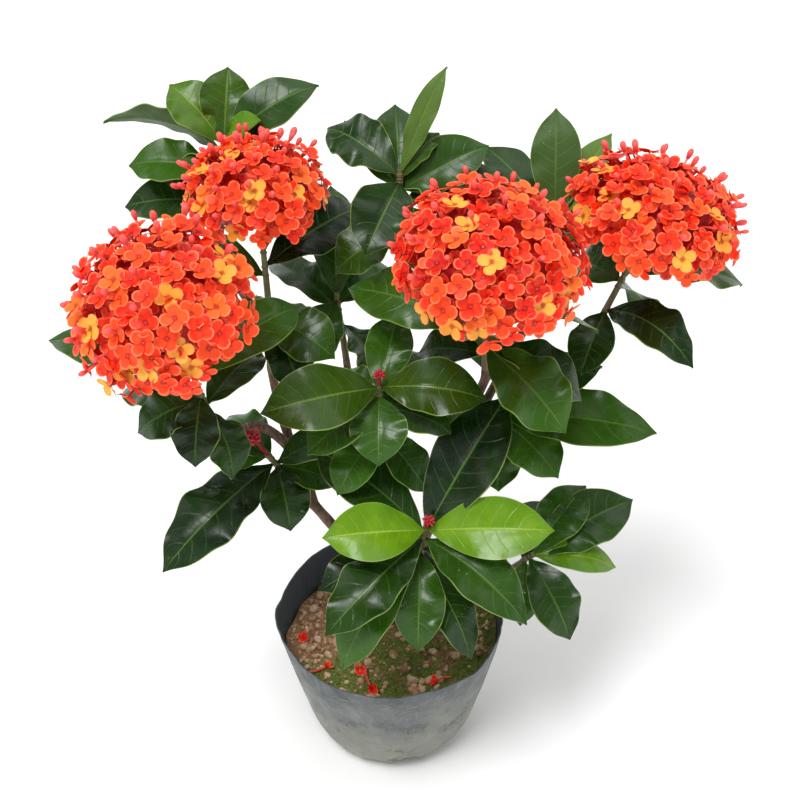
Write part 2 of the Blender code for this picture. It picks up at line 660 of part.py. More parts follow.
def build_head(name, material, work, collection):
    """One dense flower head: florets and buds on tubes from a smaller core, and its stalk."""
    shoot, centre, axis, wide, tall, florets, buds, seed = HEADS[name]
    tip, along = shoot_line(shoot)[1:]
    rng = random.Random(seed)
    centre = Vector(centre)
    frame = axis_frame(axis)
    core = (wide * CORE_SHARE, tall * CORE_SHARE)
    head = ellipsoid(name, centre, axis, core, -1.0, 2, work)
    repeats = bpy.data.collections.new("repeats")
    bpy.context.scene.collection.children.link(repeats)
    stalk_radii = (SHOOT_TIP_RADIUS, SHOOT_TIP_RADIUS, SHOOT_TIP_RADIUS + 1.0)
    stalk = (tip + GAP * along, tip + 5.0 * along, centre)
    tube("stalk", stalk, stalk_radii, SHOOT_SIDES, repeats)
    lowest = math.cos(math.radians(HEAD_EDGE_ANGLE))
    for index in range(florets):
        rise = 1.0 - (index + 0.5) / florets * (1.0 - lowest)
        x, y = polar(math.sqrt(1.0 - rise * rise), GOLDEN_ANGLE * index + 90.0 * seed)
        layer = 1.0 + FLORET_LAYER * (index % 3 - 1)
        place = frame @ Vector((wide * x * layer, wide * y * layer, tall * rise * layer))
        face = frame @ Vector((x / wide, y / wide, rise / tall)).normalized() + 0.2 * frame.col[2]
        face += Vector((rng.uniform(-0.12, 0.12), rng.uniform(-0.12, 0.12), 0.0))
        floret("floret", centre + place, face, rng.uniform(0.0, 90.0), FLORET_RADIUS, centre + 0.5 * place, repeats)
    for index in range(buds):
        rise = 1.0 - (index + 0.5) / buds * 0.95
        x, y = polar(math.sqrt(1.0 - rise * rise), GOLDEN_ANGLE * (index + 0.5) + 60.0 * seed)
        place = frame @ Vector((wide * x, wide * y, tall * rise))
        reach = 1.0 + rng.uniform(8.0, 12.0) / place.length
        bud("bud", centre + 0.5 * place, centre + reach * place, BUD_RADIUS, repeats)
    fuse(head, repeats)
    bpy.data.collections.remove(repeats)
    finish(head, material, collection)


def build_bud_cluster(name, material, work, collection):
    """Small tight cluster of young buds on a short stalk."""
    shoot, reach, size, count = BUD_CLUSTERS[name]
    tip, along = shoot_line(shoot)[1:]
    middle = tip + (reach + size) * along
    stalk = tube(name, (tip + GAP * along, middle), (SHOOT_TIP_RADIUS, 1.2), SHOOT_SIDES, work)
    repeats = bpy.data.collections.new("repeats")
    bpy.context.scene.collection.children.link(repeats)
    frame = axis_frame(along)
    for index in range(count):
        lean = 0.0 if index == 0 else 0.85
        x, y = polar(lean, 360.0 * index / max(count - 1, 1))
        out = (frame @ Vector((x, y, 0.75 if index else 1.0))).normalized()
        profile = ((0.0, 0.0), (0.1, 0.3 * size), (0.6, 0.42 * size), (1.0, 0.0))
        root = middle - 0.5 * size * along
        drop_shape("bud", root, middle + size * out, profile, BUD_SIDES + 1, repeats)
    fuse(stalk, repeats)
    bpy.data.collections.remove(repeats)
    finish(stalk, material, collection)
    return stalk


def build_fallen(name, material, work, collection):
    """One fallen floret lying on the soil."""
    x, y, heading, length = FALLEN[name]
    away = Vector((*polar(1.0, heading), 0.0))
    centre = Vector((x, y, 100.0))
    root = centre + length * away
    fallen = floret(name, centre, Vector((0.0, 0.0, 1.0)) - 0.8 * away, 20.0, FALLEN_RADIUS, root, work)
    clear = min(vert.co.z / MM - soil_height(vert.co.x / MM, vert.co.y / MM) for vert in fallen.data.vertices)
    fallen.data.transform(Matrix.Translation((0.0, 0.0, (FALLEN_CLEAR - clear) * MM)))
    finish(fallen, material, collection)


def build_stems(material, work, collection):
    """Root crown and limbs, fused in one piece."""
    pieces = build_limbs(work)
    shapes = [object_faces(piece) for piece in pieces]
    repeats = bpy.data.collections.new("repeats")
    bpy.context.scene.collection.children.link(repeats)
    for piece in pieces[1:]:
        work.objects.unlink(piece)
        repeats.objects.link(piece)
    fuse(pieces[0], repeats)
    bpy.data.collections.remove(repeats)
    finish(pieces[0], material, collection)
    return shapes


def shoot_stem(shoot, work):
    """Green stem of a shoot, slightly tapered."""
    root, tip = shoot_line(shoot)[:2]
    return tube(shoot, (root, tip), (SHOOT_ROOT_RADIUS, SHOOT_TIP_RADIUS), SHOOT_SIDES, work)


def leaf_solid(bm, collection):
    """Blade of even thickness about a leaf surface."""
    obj = object_from("leaf", bm, collection)
    solidify = obj.modifiers.new("Blade", "SOLIDIFY")
    solidify.thickness = BLADE * MM
    solidify.offset = 0.0
    return bake(obj)


def build_shoots(fixed, material, work, collection):
    """Leafy shoots, each leaf turned clear of the pieces placed before it."""
    stems = {shoot: shoot_stem(shoot, work) for shoot in SHOOTS}
    placed = {shoot: [object_faces(stem)] for shoot, stem in stems.items()}
    missing = []
    for shoot, (root, tip, leaves) in SHOOTS.items():
        others = list(fixed)
        for other, shapes in placed.items():
            if other != shoot:
                others += shapes
        others = tree_of(others)
        own = []
        tip, along = shoot_line(shoot)[1:]
        repeats = bpy.data.collections.new("repeats")
        bpy.context.scene.collection.children.link(repeats)
        for number, leaf in enumerate(leaves):
            surface = settled_leaf(leaf, tip - max(leaf[0], LEAF_TIP_GAP) * along, others, tree_of(own))
            if surface is None:
                missing.append((shoot, number))
                continue
            placed[shoot].append(sheets(surface, BLADE, 0.0))
            own.append(sheets(surface, BLADE, OWN_CLEAR_SHARE))
            leaf_solid(surface, repeats)
        fuse(stems[shoot], repeats)
        bpy.data.collections.remove(repeats)
        finish(stems[shoot], material, collection)
    if missing:
        print("leaves with no free place:", missing)


def main():
    """Build every piece."""
    clear_scene()
    scene = bpy.context.scene
    collection = bpy.data.collections.new("potted_ixora")
    scene.collection.children.link(collection)
    work = bpy.data.collections.new("work")
    work.hide_render = True
    scene.collection.children.link(work)
    bag = principled("bag_film", (0.16, 0.2, 0.23), 0.55)
    earth = principled("earth", (0.19, 0.13, 0.07), 0.95)
    wood = principled("bark", (0.16, 0.09, 0.05), 0.8)
    leaf = principled("leaf", (0.03, 0.13, 0.02), 0.3)
    petal = principled("petal", (0.9, 0.09, 0.02), 0.5)
    young_bud = principled("young_bud", (0.35, 0.02, 0.02), 0.5)
    build_bag(bag, work, collection)
    build_soil(earth, work, collection)
    fixed = build_stems(wood, work, collection)
    for name in HEADS:
        build_head(name, petal, work, collection)
        shoot, centre, axis, wide, tall = HEADS[name][:5]
        sizes = (wide + HEAD_MARGIN, tall + HEAD_MARGIN)
        envelope = ellipsoid("envelope", centre, axis, sizes, -HEAD_FOOT_SHARE, 3, work)
        fixed.append(object_faces(envelope))
        bpy.data.objects.remove(envelope)
    for name in BUD_CLUSTERS:
        fixed.append(object_faces(build_bud_cluster(name, young_bud, work, collection)))
    build_shoots(fixed, leaf, work, collection)
    for name in FALLEN:
        build_fallen(name, petal, work, collection)
    bpy.data.collections.remove(work)


main()
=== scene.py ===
"""Looks of the potted ixora: film grow bag, mossy soil, woody stems, glossy leaves and dense flower heads.

Tables and sizes are in millimetres and angles in degrees. The viewer's side is -Y. The bag stands on Z = 0.
"""

import logging
import math
import random
from collections.abc import Callable, Iterable, Sequence
from dataclasses import dataclass, field
from enum import Enum
from itertools import product

import bmesh
import bpy
import numpy as np
from mathutils import Matrix, Vector, noise
from mathutils.kdtree import KDTree


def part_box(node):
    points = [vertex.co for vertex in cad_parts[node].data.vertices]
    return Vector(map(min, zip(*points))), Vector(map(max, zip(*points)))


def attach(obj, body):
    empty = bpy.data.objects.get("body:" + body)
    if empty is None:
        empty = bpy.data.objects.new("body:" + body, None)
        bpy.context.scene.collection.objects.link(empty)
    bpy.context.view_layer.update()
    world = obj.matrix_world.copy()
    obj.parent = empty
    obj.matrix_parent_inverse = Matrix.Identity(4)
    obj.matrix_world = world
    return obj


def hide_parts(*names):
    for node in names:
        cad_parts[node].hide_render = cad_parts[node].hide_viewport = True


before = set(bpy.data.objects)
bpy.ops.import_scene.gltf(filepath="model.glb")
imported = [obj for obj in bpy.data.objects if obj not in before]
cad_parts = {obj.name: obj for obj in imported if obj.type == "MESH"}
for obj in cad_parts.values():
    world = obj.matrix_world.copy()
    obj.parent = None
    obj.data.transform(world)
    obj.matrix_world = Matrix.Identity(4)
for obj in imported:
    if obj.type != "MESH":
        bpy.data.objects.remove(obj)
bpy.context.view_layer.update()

LOG = logging.getLogger("potted_ixora")

MM = 0.001
MARK = "mark"
GOLDEN_ANGLE = 137.508
Z_AXIS = Vector((0.0, 0.0, 1.0))
UNMOVED = Matrix.Identity(4)

Colour = tuple[float, float, float]
Point = tuple[float, float, float]
LeafRow = tuple[float, float, float, float, float, float, float, float]
Socket = bpy.types.NodeSocket
Material = bpy.types.Material
Mesh = bpy.types.Mesh
Face = bmesh.types.BMFace
Vert = bmesh.types.BMVert


class Slot(Enum):
    """Material slot of the record for a piece."""

    BAG = "grow_bag"
    SOIL = "soil"
    WOOD = "woody_stem"
    LEAFY = "leafy_shoot"
    FLOWER = "flower_head"
    BUD = "young_bud"
    SPENT = "spent_bloom"
    FALLEN = "fallen_floret"


class Hue(Enum):
    """Place of a floret on the petal colour ramp, from deep red to apricot."""

    DEEP_RED = 0.08
    SCARLET = 0.4
    CORAL = 0.55
    APRICOT = 1.0


# Name: (root of the green shoot, its tip, leaves).
# A leaf: (below the tip, heading, pitch, length, width, arch in % of length, roll, wave of the edge).
SHOOTS: dict[str, tuple[Point, Point, tuple[LeafRow, ...]]] = {
    "shoot_front": ((17, -34, 186), (23, -45, 226), (
        (1, -165, 8, 68, 38, 10, -39, 0.8),
        (1, -9, 8, 82, 40, 8, 39, 0.8),
        (7, 138, 22, 91, 40, 12, -18, 1.5),
        (7, 43, 38, 103, 46, 8, 23, 1.5),
        (12, -139, -22, 89, 38, 10, -20, 3.2),
        (12, -38, -18, 86, 38, 12, 11, 1.8),
        (20, -158, -12, 73, 36, 10, -21, 2.0),
        (22, -134, -38, 95, 34, 15, -10, 2.0),
        (26, -92, -38, 66, 34, 14, 0, 2.0),
        (24, -18, -14, 74, 30, 10, 13, 1.5),
        (32, -55, -34, 76, 30, 12, 6, 1.5),
        (30, 145, 2, 62, 34, 10, -7, 1.5),
    )),
    "shoot_middle": ((-8, -3, 262), (-7, -10, 313), (
        (2, -157, 2, 77, 42, 14, -43, 1.2),
        (2, -10, 0, 68, 36, 16, 33, 1.2),
        (8, 75, 35, 56, 30, 6, 8, 1.2),
        (9, -90, -35, 46, 36, 14, -1, 1.2),
        (20, -17, -10, 49, 32, 12, 15, 1.5),
        (20, -146, -14, 55, 34, 12, -14, 1.5),
        (26, 58, 10, 66, 32, 10, 9, 1.5),
        (30, 131, 12, 51, 34, 10, -11, 1.5),
        (40, -127, -30, 50, 30, 10, -14, 1.5),
        (42, -36, -30, 50, 30, 10, 16, 1.5),
    )),
    "shoot_left": ((-75, 19, 222), (-82, 8, 244), (
        (14, -139, -24, 103, 44, 10, -20, 2.6),
        (4, 171, -2, 42, 26, 10, -31, 1.2),
        (2, 165, 40, 45, 22, 10, -28, 1.0),
        (18, -73, -40, 46, 34, 15, 2, 1.5),
        (16, 43, 20, 66, 34, 8, 20, 1.5),
        (8, 121, 28, 58, 28, 10, -6, 1.5),
        (20, -8, -14, 44, 28, 10, 20, 1.5),
    )),
    "shoot_right": ((62, 15, 264), (76, 6, 284), (
        (12, -8, -2, 103, 42, 8, 27, 2.0),
        (14, -45, -20, 58, 40, 10, 16, 2.0),
        (2, 27, 18, 69, 32, 12, 9, 1.5),
        (6, -175, -14, 46, 34, 10, -21, 1.5),
        (18, -84, -44, 48, 34, 10, 4, 1.5),
    )),
    "shoot_low_right": ((78, 2, 140), (99, -4, 166), (
        (6, 28, 12, 89, 40, 10, 23, 1.8),
        (2, 45, 28, 64, 34, 8, 16, 1.5),
        (3, 2, -8, 62, 26, 14, 22, 0.8),
        (6, -56, -38, 63, 36, 12, 12, 2.4),
        (10, -97, -36, 46, 26, 8, 0, 1.5),
        (12, 66, 20, 52, 34, 10, 4, 1.5),
    )),
    "shoot_head_left": ((-110, -20, 288), (-119, -34, 346), (
        (10, 161, 2, 98, 34, 10, -20, 1.8),
        (6, 154, 14, 90, 28, 8, -23, 1.5),
        (34, -168, -24, 46, 34, 14, -30, 1.8),
        (30, -100, -45, 44, 30, 10, 0, 1.5),
        (44, -60, -35, 46, 28, 14, -20, 1.5),
        (12, 43, 10, 84, 36, 12, 29, 1.5),
        (40, 61, 5, 62, 30, 10, 12, 1.5),
        (44, 150, -8, 70, 32, 12, -14, 1.5),
    )),
    "shoot_head_back_left": ((-78, 44, 322), (-80, 48, 384), (
        (20, 47, 6, 88, 38, 12, 30, 1.8),
        (10, 40, 14, 80, 36, 12, -29, 1.8),
        (44, 80, -60, 54, 38, 10, 0, 1.8),
        (50, -133, -34, 48, 34, 10, -17, 1.5),
        (56, -31, -16, 52, 36, 10, 23, 1.5),
        (60, -90, -36, 52, 30, 12, 4, 1.5),
        (26, 150, -5, 66, 34, 12, -35, 1.5),
    )),
    "shoot_high_left": ((-112, 90, 366), (-107, 106, 424), (
        (8, 167, 10, 82, 34, 12, 50, 1.2),
        (2, 148, 30, 52, 34, 10, -22, 1.2),
        (2, 85, 50, 50, 34, 6, 10, 1.2),
        (3, 10, 30, 72, 34, 10, 32, 1.5),
        (12, 45, 38, 54, 30, 10, 20, 1.5),
        (1, -20, 30, 34, 22, 8, 25, 0.8),
        (22, 176, 4, 62, 36, 10, -25, 1.8),
        (16, -172, -8, 48, 34, 14, 40, 1.5),
        (42, 175, -4, 66, 34, 10, -31, 2.2),
    )),
    "shoot_back": ((6, 64, 366), (6, 70, 420), (
        (4, 140, 14, 63, 34, 12, -25, 1.8),
        (14, 125, 30, 68, 30, 8, -10, 1.8),
        (1, 38, 60, 71, 25, 4, 27, 1.2),
        (6, 34, 40, 38, 18, 8, 15, 1.0),
        (14, 9, 34, 62, 34, 6, 38, 1.2),
        (24, 6, 18, 67, 26, 8, 19, 1.5),
        (8, -112, -22, 60, 40, 10, -18, 2.0),
        (12, -10, -8, 50, 36, 14, -38, 1.5),
        (22, -68, -38, 48, 36, 12, 5, 1.5),
        (20, 94, 45, 64, 34, 6, -1, 1.5),
        (40, -162, -25, 50, 34, 10, -17, 1.5),
        (46, -30, -28, 50, 32, 10, 15, 1.5),
    )),
    "shoot_head_centre": ((59, 0, 318), (57, -10, 360), (
        (10, 150, 1, 98, 36, 12, -33, 1.8),
        (24, -43, -26, 72, 44, 12, 21, 2.0),
        (22, -12, -22, 72, 34, 12, 16, 1.8),
        (14, 85, -58, 48, 34, 14, 0, 1.8),
        (30, 148, -18, 52, 32, 10, -24, 1.5),
        (8, 74, 36, 78, 34, 10, 2, 1.5),
        (12, 5, 0, 70, 34, 12, -29, 1.5),
    )),
    "shoot_head_right": ((133, 36, 328), (149, 38, 370), (
        (34, -46, -8, 70, 36, 20, 15, 1.8),
        (12, 117, -12, 52, 38, 12, -34, 1.5),
        (16, 40, -50, 50, 34, 14, 0, 1.5),
        (6, 7, 4, 80, 34, 10, 6, 1.5),
        (10, 62, 26, 84, 34, 10, 5, 1.5),
        (34, -118, -36, 46, 30, 8, -4, 1.5),
    )),
    "shoot_back_left": ((-30, 52, 290), (-36, 66, 334), (
        (6, -122, -34, 50, 34, 10, -12, 1.5),
        (8, 47, 2, 56, 34, 12, 15, 1.5),
        (6, 95, 38, 84, 34, 10, 0, 1.5),
        (12, 135, 8, 70, 32, 10, -8, 1.5),
        (22, -40, -40, 48, 34, 12, -14, 1.5),
    )),
    "shoot_back_right": ((96, 60, 336), (106, 76, 386), (
        (4, 90, 60, 71, 40, 6, -5, 1.2),
        (1, 57, 45, 46, 20, 6, 14, 0.8),
        (10, 126, 24, 78, 34, 10, -12, 1.5),
        (14, 150, 6, 72, 34, 10, -17, 1.5),
        (20, 96, 5, 74, 34, 10, -8, 1.5),
        (8, 18, 42, 74, 22, 4, 10, 0.8),
        (24, 20, 8, 60, 34, 10, 14, 1.5),
        (30, -120, -30, 50, 34, 10, -8, 1.5),
    )),
}

# Share of fresh lime green in each young leaf: {shoot: {number of the leaf: share}}.
YOUNG_LEAVES: dict[str, dict[int, float]] = {
    "shoot_front": {0: 1.0, 1: 0.92},
    "shoot_low_right": {2: 0.75},
    "shoot_high_left": {1: 0.5, 5: 0.6, 2: 0.2},
    "shoot_back": {2: 0.25, 3: 0.2},
    "shoot_middle": {0: 0.16, 1: 0.18},
    "shoot_back_right": {1: 0.2, 5: 0.4},
}

# Share of its solid's width that a narrow leaf shows: {shoot: {number of the leaf: share}}.
SLIM_LEAVES: dict[str, dict[int, float]] = {
    "shoot_back": {2: 0.62},
    "shoot_back_right": {0: 0.8, 1: 0.8},
}

# (shoot that a limb carries, its radius at the foot, points along it).
LIMBS: tuple[tuple[str, float, tuple[Point, ...]], ...] = (
    ("shoot_left", 5.2, ((-6, 7, 92), (-12, 8, 116), (-30, 10, 160), (-54, 14, 196))),
    ("shoot_head_left", 4.0, ((-54, 14, 196), (-64, 27, 226), (-86, 22, 256), (-102, -4, 270))),
    ("shoot_head_back_left", 3.6, ((-54, 14, 196), (-70, 36, 236), (-79, 42, 286))),
    ("shoot_right", 5.0, ((-2, 6, 92), (8, 10, 120), (28, 14, 180), (46, 18, 236))),
    ("shoot_head_centre", 3.8, ((44, 17, 228), (54, 32, 262), (61, 18, 298))),
    ("shoot_head_right", 3.6, ((54, 20, 248), (86, 30, 274), (118, 34, 302))),
    ("shoot_back_right", 3.4, ((28, 14, 180), (52, 34, 238), (82, 50, 300))),
    ("shoot_front", 3.6, ((-4, 4, 92), (0, -6, 112), (9, -20, 150))),
    ("shoot_middle", 4.0, ((-4, 6, 92), (-6, 5, 140), (-9, 3, 210))),
    ("shoot_back", 4.2, ((-3, 8, 92), (0, 20, 140), (4, 42, 240), (6, 58, 320))),
    ("shoot_back_left", 3.4, ((-1, 20, 140), (-16, 36, 210), (-26, 46, 264))),
    ("shoot_high_left", 3.6, ((-9, 26, 172), (-60, 58, 270), (-100, 80, 326))),
    ("shoot_low_right", 3.4, ((-1, 5, 92), (10, 4, 104), (48, 3, 116))),
)

# (place across, place in depth, heading, length of its tube) of each fallen floret.
FALLEN: tuple[tuple[float, float, float, float], ...] = (
    (-46, -38, 200, 16), (-13, -62, 105, 20), (30, -57, 20, 12), (-64, -8, 80, 10), (-22, -44, 100, 18),
)


def polar(radius: float, angle: float) -> tuple[float, float]:
    """Point in the plane at a distance from the axis and an angle in degrees."""
    turn = math.radians(angle)
    return radius * math.cos(turn), radius * math.sin(turn)


def angle_gap(first: float, second: float) -> float:
    """Difference of two angles in degrees, from -180 to 180."""
    return (first - second + 180.0) % 360.0 - 180.0


def dome_point(index: int, count: int, depth: float, angle: float) -> Point:
    """One of many points spread evenly from the top of a round dome downwards.

    Args:
        index: Its number, from 0 at the top.
        count: How many there are.
        depth: How far down they reach, 1 for half a ball and 2 for a whole one.
        angle: Its angle about the axis, in degrees.

    Returns:
        The point on a dome of radius 1.
    """
    rise = 1.0 - (index + 0.5) / count * depth
    x, y = polar(math.sqrt(1.0 - rise * rise), angle)
    return x, y, rise


def jitter(rng: random.Random, flat: float, low: float, high: float) -> Vector:
    """Random shift, up to flat either way across and in depth, and from low to high upwards."""
    return Vector((rng.uniform(-flat, flat), rng.uniform(-flat, flat), rng.uniform(low, high)))


def axis_frame(axis: Vector) -> Matrix:
    """Rotation whose third column is an axis.

    Args:
        axis: Direction, of any length, that isn't along Y.

    Returns:
        A 3 x 3 rotation.
    """
    up = axis.normalized()
    side = up.cross(Vector((0.0, 1.0, 0.0))).normalized()
    return Matrix((side, up.cross(side), up)).transposed()


def smooth_path(points: Sequence[Vector], steps: int) -> list[Vector]:
    """Round curve through a list of points.

    Args:
        points: Places that the curve passes through.
        steps: Stretches between two neighbouring places.

    Returns:
        Points along the curve, both ends included.
    """
    path = [points[0].copy()]
    for index in range(len(points) - 1):
        before = points[max(index - 1, 0)]
        start = points[index]
        end = points[index + 1]
        after = points[min(index + 2, len(points) - 1)]
        lead = (end - before) * 0.5
        trail = (after - start) * 0.5
        for step in range(1, steps + 1):
            share = step / steps
            path.append(
                start * (2.0 * share ** 3 - 3.0 * share ** 2 + 1.0)
                + lead * (share ** 3 - 2.0 * share ** 2 + share)
                + end * (3.0 * share ** 2 - 2.0 * share ** 3)
                + trail * (share ** 3 - share ** 2)
            )
    return path


def shoot_line(shoot: str) -> tuple[Vector, Vector, Vector]:
    """Root, tip and direction of a green shoot."""
    root, tip = (Vector(place) for place in SHOOTS[shoot][:2])
    return root, tip, (tip - root).normalized()


class NodeBench:
    """Builds one node material, a node at a time."""

    def __init__(self, name: str) -> None:
        """Start a material with its principled shader.

        Args:
            name: Name of the material.
        """
        self.material = bpy.data.materials.new(name)
        self.material.use_nodes = True
        self.tree = self.material.node_tree
        self.shader = self.tree.nodes["Principled BSDF"]

    def add(self, kind: str, inputs: dict | None = None, **settings: object) -> bpy.types.Node:
        """Add a node.

        Args:
            kind: Node type without the leading ShaderNode.
            inputs: Value or socket for each input, by name or number.
            settings: Properties of the node.

        Returns:
            The new node.
        """
        node = self.tree.nodes.new("ShaderNode" + kind)
        for key, value in settings.items():
            setattr(node, key, value)
        for key, value in (inputs or {}).items():
            self.feed(node.inputs[key], value)
        return node

    def feed(self, socket: Socket, value: object) -> None:
        """Link a socket, or set its value.

        Args:
            socket: Input to feed.
            value: Output socket, colour or number.
        """
        if isinstance(value, Socket):
            self.tree.links.new(value, socket)
        elif isinstance(value, tuple) and len(value) == 3 and socket.type == "RGBA":
            socket.default_value = (*value, 1.0)
        else:
            socket.default_value = value

    def place(self, scale: Point = (1.0, 1.0, 1.0)) -> Socket:
        """Object coordinates, stretched along each axis."""
        where = self.add("TexCoord").outputs["Object"]
        return self.add("Mapping", {"Vector": where, "Scale": scale}).outputs[0]

    def coordinates(self) -> tuple[Socket, Socket, Socket]:
        """The three object coordinates."""
        parts = self.add("SeparateXYZ", {"Vector": self.add("TexCoord").outputs["Object"]})
        return parts.outputs[0], parts.outputs[1], parts.outputs[2]

    def cloud(self, scale: float, detail: float = 3.0, rough: float = 0.55) -> Socket:
        """Soft noise of some waves in a metre, with octaves and the strength of the finer ones."""
        inputs = {"Vector": self.place(), "Scale": scale, "Detail": detail, "Roughness": rough}
        return self.add("TexNoise", inputs).outputs["Fac"]

    def streaks(self, waves: Point, detail: float, rough: float) -> Socket:
        """Soft noise with its own number of waves in a metre along each axis."""
        inputs = {"Vector": self.place(waves), "Scale": 1.0, "Detail": detail, "Roughness": rough}
        return self.add("TexNoise", inputs).outputs["Fac"]

    def cells(self, scale: float, stretch: Point = (1.0, 1.0, 1.0)) -> Socket:
        """Distance to the middle of the nearest of many small cells."""
        return self.add("TexVoronoi", {"Vector": self.place(stretch), "Scale": scale}).outputs["Distance"]

    def ramp(self, factor: Socket, stops: Sequence[tuple[float, Colour]]) -> Socket:
        """Colour by a factor.

        Args:
            factor: What is read.
            stops: Place and colour of each stop.

        Returns:
            Colour socket.
        """
        node = self.add("ValToRGB", {"Fac": factor})
        elements = node.color_ramp.elements
        while len(elements) < len(stops):
            elements.new(1.0)
        for element, (place, colour) in zip(elements, stops):
            element.position = place
            element.color = (*colour, 1.0)
        return node.outputs["Color"]

    def span(self, value: Socket, low: float, high: float, start: float = 0.0, end: float = 1.0) -> Socket:
        """Smooth step from a start where the value is low to an end where it is high."""
        inputs = {"Value": value, "From Min": low, "From Max": high, "To Min": start, "To Max": end}
        return self.add("MapRange", inputs, interpolation_type="SMOOTHSTEP").outputs[0]

    def sum(self, operation: str, first: object, second: object = 0.0) -> Socket:
        """Arithmetic on two values or sockets, by the name of the operation."""
        return self.add("Math", {0: first, 1: second}, operation=operation).outputs[0]

    def times(self, first: object, second: object) -> Socket:
        """Product of two values or sockets."""
        return self.sum("MULTIPLY", first, second)

    def plus(self, first: object, second: object) -> Socket:
        """Sum of two values or sockets."""
        return self.sum("ADD", first, second)

    def minus(self, first: object, second: object) -> Socket:
        """Difference of two values or sockets."""
        return self.sum("SUBTRACT", first, second)

    def mix(self, factor: object, first: object, second: object, blend: str = "MIX") -> Socket:
        """Mix two colours.

        Args:
            factor: Share of the second.
            first: Colour or socket.
            second: Colour or socket.
            blend: How they are mixed.

        Returns:
            Colour socket.
        """
        node = self.add("Mix", data_type="RGBA", blend_type=blend)
        self.feed(node.inputs[0], factor)
        self.feed(node.inputs[6], first)
        self.feed(node.inputs[7], second)
        return node.outputs[2]

    def tint(self, colour: object, other: object, where: Socket, amount: object) -> Socket:
        """Colour turned towards another by an amount, where a socket is 1."""
        return self.mix(self.times(where, amount), colour, other)

    def mark(self) -> tuple[Socket, Socket, Socket]:
        """The three shares that a mesh carries in its mark attribute.

        Returns:
            Three value sockets.
        """
        colour = self.add("Attribute", attribute_name=MARK).outputs["Color"]
        parts = self.add("SeparateColor", {"Color": colour})
        return parts.outputs[0], parts.outputs[1], parts.outputs[2]

    def relief(self, height: Socket, strength: float, depth: float) -> None:
        """Give the surface a fine relief of a strength and a depth in metres."""
        node = self.add("Bump", {"Height": height, "Strength": strength, "Distance": depth})
        self.tree.links.new(node.outputs[0], self.shader.inputs["Normal"])

    def done(self, colour: object, roughness: object, specular: float) -> Material:
        """Connect colour and roughness and close the material.

        Args:
            colour: Base colour.
            roughness: Roughness.
            specular: Level of the mirror-like share.

        Returns:
            The material.
        """
        self.feed(self.shader.inputs["Base Color"], colour)
        self.feed(self.shader.inputs["Roughness"], roughness)
        self.shader.inputs["Specular IOR Level"].default_value = specular
        return self.material


@dataclass(frozen=True)
class FilmFinish:
    """Dusty slate film of the grow bag, paler and blotched towards its foot; its height is in metres."""

    top: Colour = (0.066, 0.08, 0.086)
    middle: Colour = (0.135, 0.145, 0.138)
    foot: Colour = (0.24, 0.238, 0.195)
    stain: Colour = (0.036, 0.04, 0.037)
    # Painted shade: the inner face of the film takes this darker slate.
    inner_wall_shade: Colour = (0.045, 0.06, 0.072)
    scratch: Colour = (0.27, 0.285, 0.27)
    streak: Colour = (0.28, 0.29, 0.28)
    dust: Colour = (0.29, 0.29, 0.25)
    bag_height: float = 0.104

    def make(self) -> Material:
        """Build the node material.

        Returns:
            The material.
        """
        bench = NodeBench("bag_film")
        rise = bench.sum("DIVIDE", bench.coordinates()[2], self.bag_height)
        drift = bench.times(bench.minus(bench.cloud(26.0, 5.0, 0.62), 0.5), 0.9)
        between = tuple(0.5 * (foot + middle) for foot, middle in zip(self.foot, self.middle))
        stops = ((0.05, self.foot), (0.45, between), (0.68, self.middle), (0.98, self.top))
        colour = bench.ramp(bench.plus(rise, drift), stops)
        low = bench.span(rise, 0.3, 0.8, 1.0, 0.35)
        high = bench.span(rise, 0.45, 0.9, 0.15, 0.75)
        blotch = bench.span(bench.cloud(54.0, 7.0, 0.74), 0.52, 0.64)
        colour = bench.tint(colour, self.stain, bench.times(blotch, low), 0.88)
        hatch = bench.span(bench.streaks((90.0, 90.0, 900.0), 5.0, 0.7), 0.54, 0.7)
        colour = bench.tint(colour, self.scratch, hatch, high)
        nick = bench.span(bench.streaks((130.0, 130.0, 620.0), 5.0, 0.7), 0.57, 0.68)
        colour = bench.tint(colour, self.stain, bench.times(nick, high), 0.9)
        streak = bench.span(bench.streaks((320.0, 320.0, 26.0), 4.0, 0.6), 0.56, 0.72)
        colour = bench.tint(colour, self.streak, streak, 0.3)
        dust = bench.span(bench.cloud(420.0, 3.0, 0.7), 0.58, 0.7)
        colour = bench.tint(colour, self.dust, dust, 0.3)
        smear = bench.span(bench.streaks((60.0, 60.0, 160.0), 5.0, 0.65), 0.56, 0.68)
        colour = bench.tint(colour, self.stain, smear, 0.4)
        # The first mark picks the inner face, which gets the darker slate as painted shade.
        colour = bench.mix(bench.mark()[0], colour, self.inner_wall_shade)
        creases = bench.streaks((95.0, 95.0, 40.0), 5.0, 0.6)
        bench.relief(bench.plus(creases, bench.times(bench.cloud(900.0, 2.0), 0.12)), 0.75, 0.0028)
        return bench.done(colour, bench.span(bench.cloud(70.0, 4.0), 0.3, 0.7, 0.42, 0.66), 0.45)


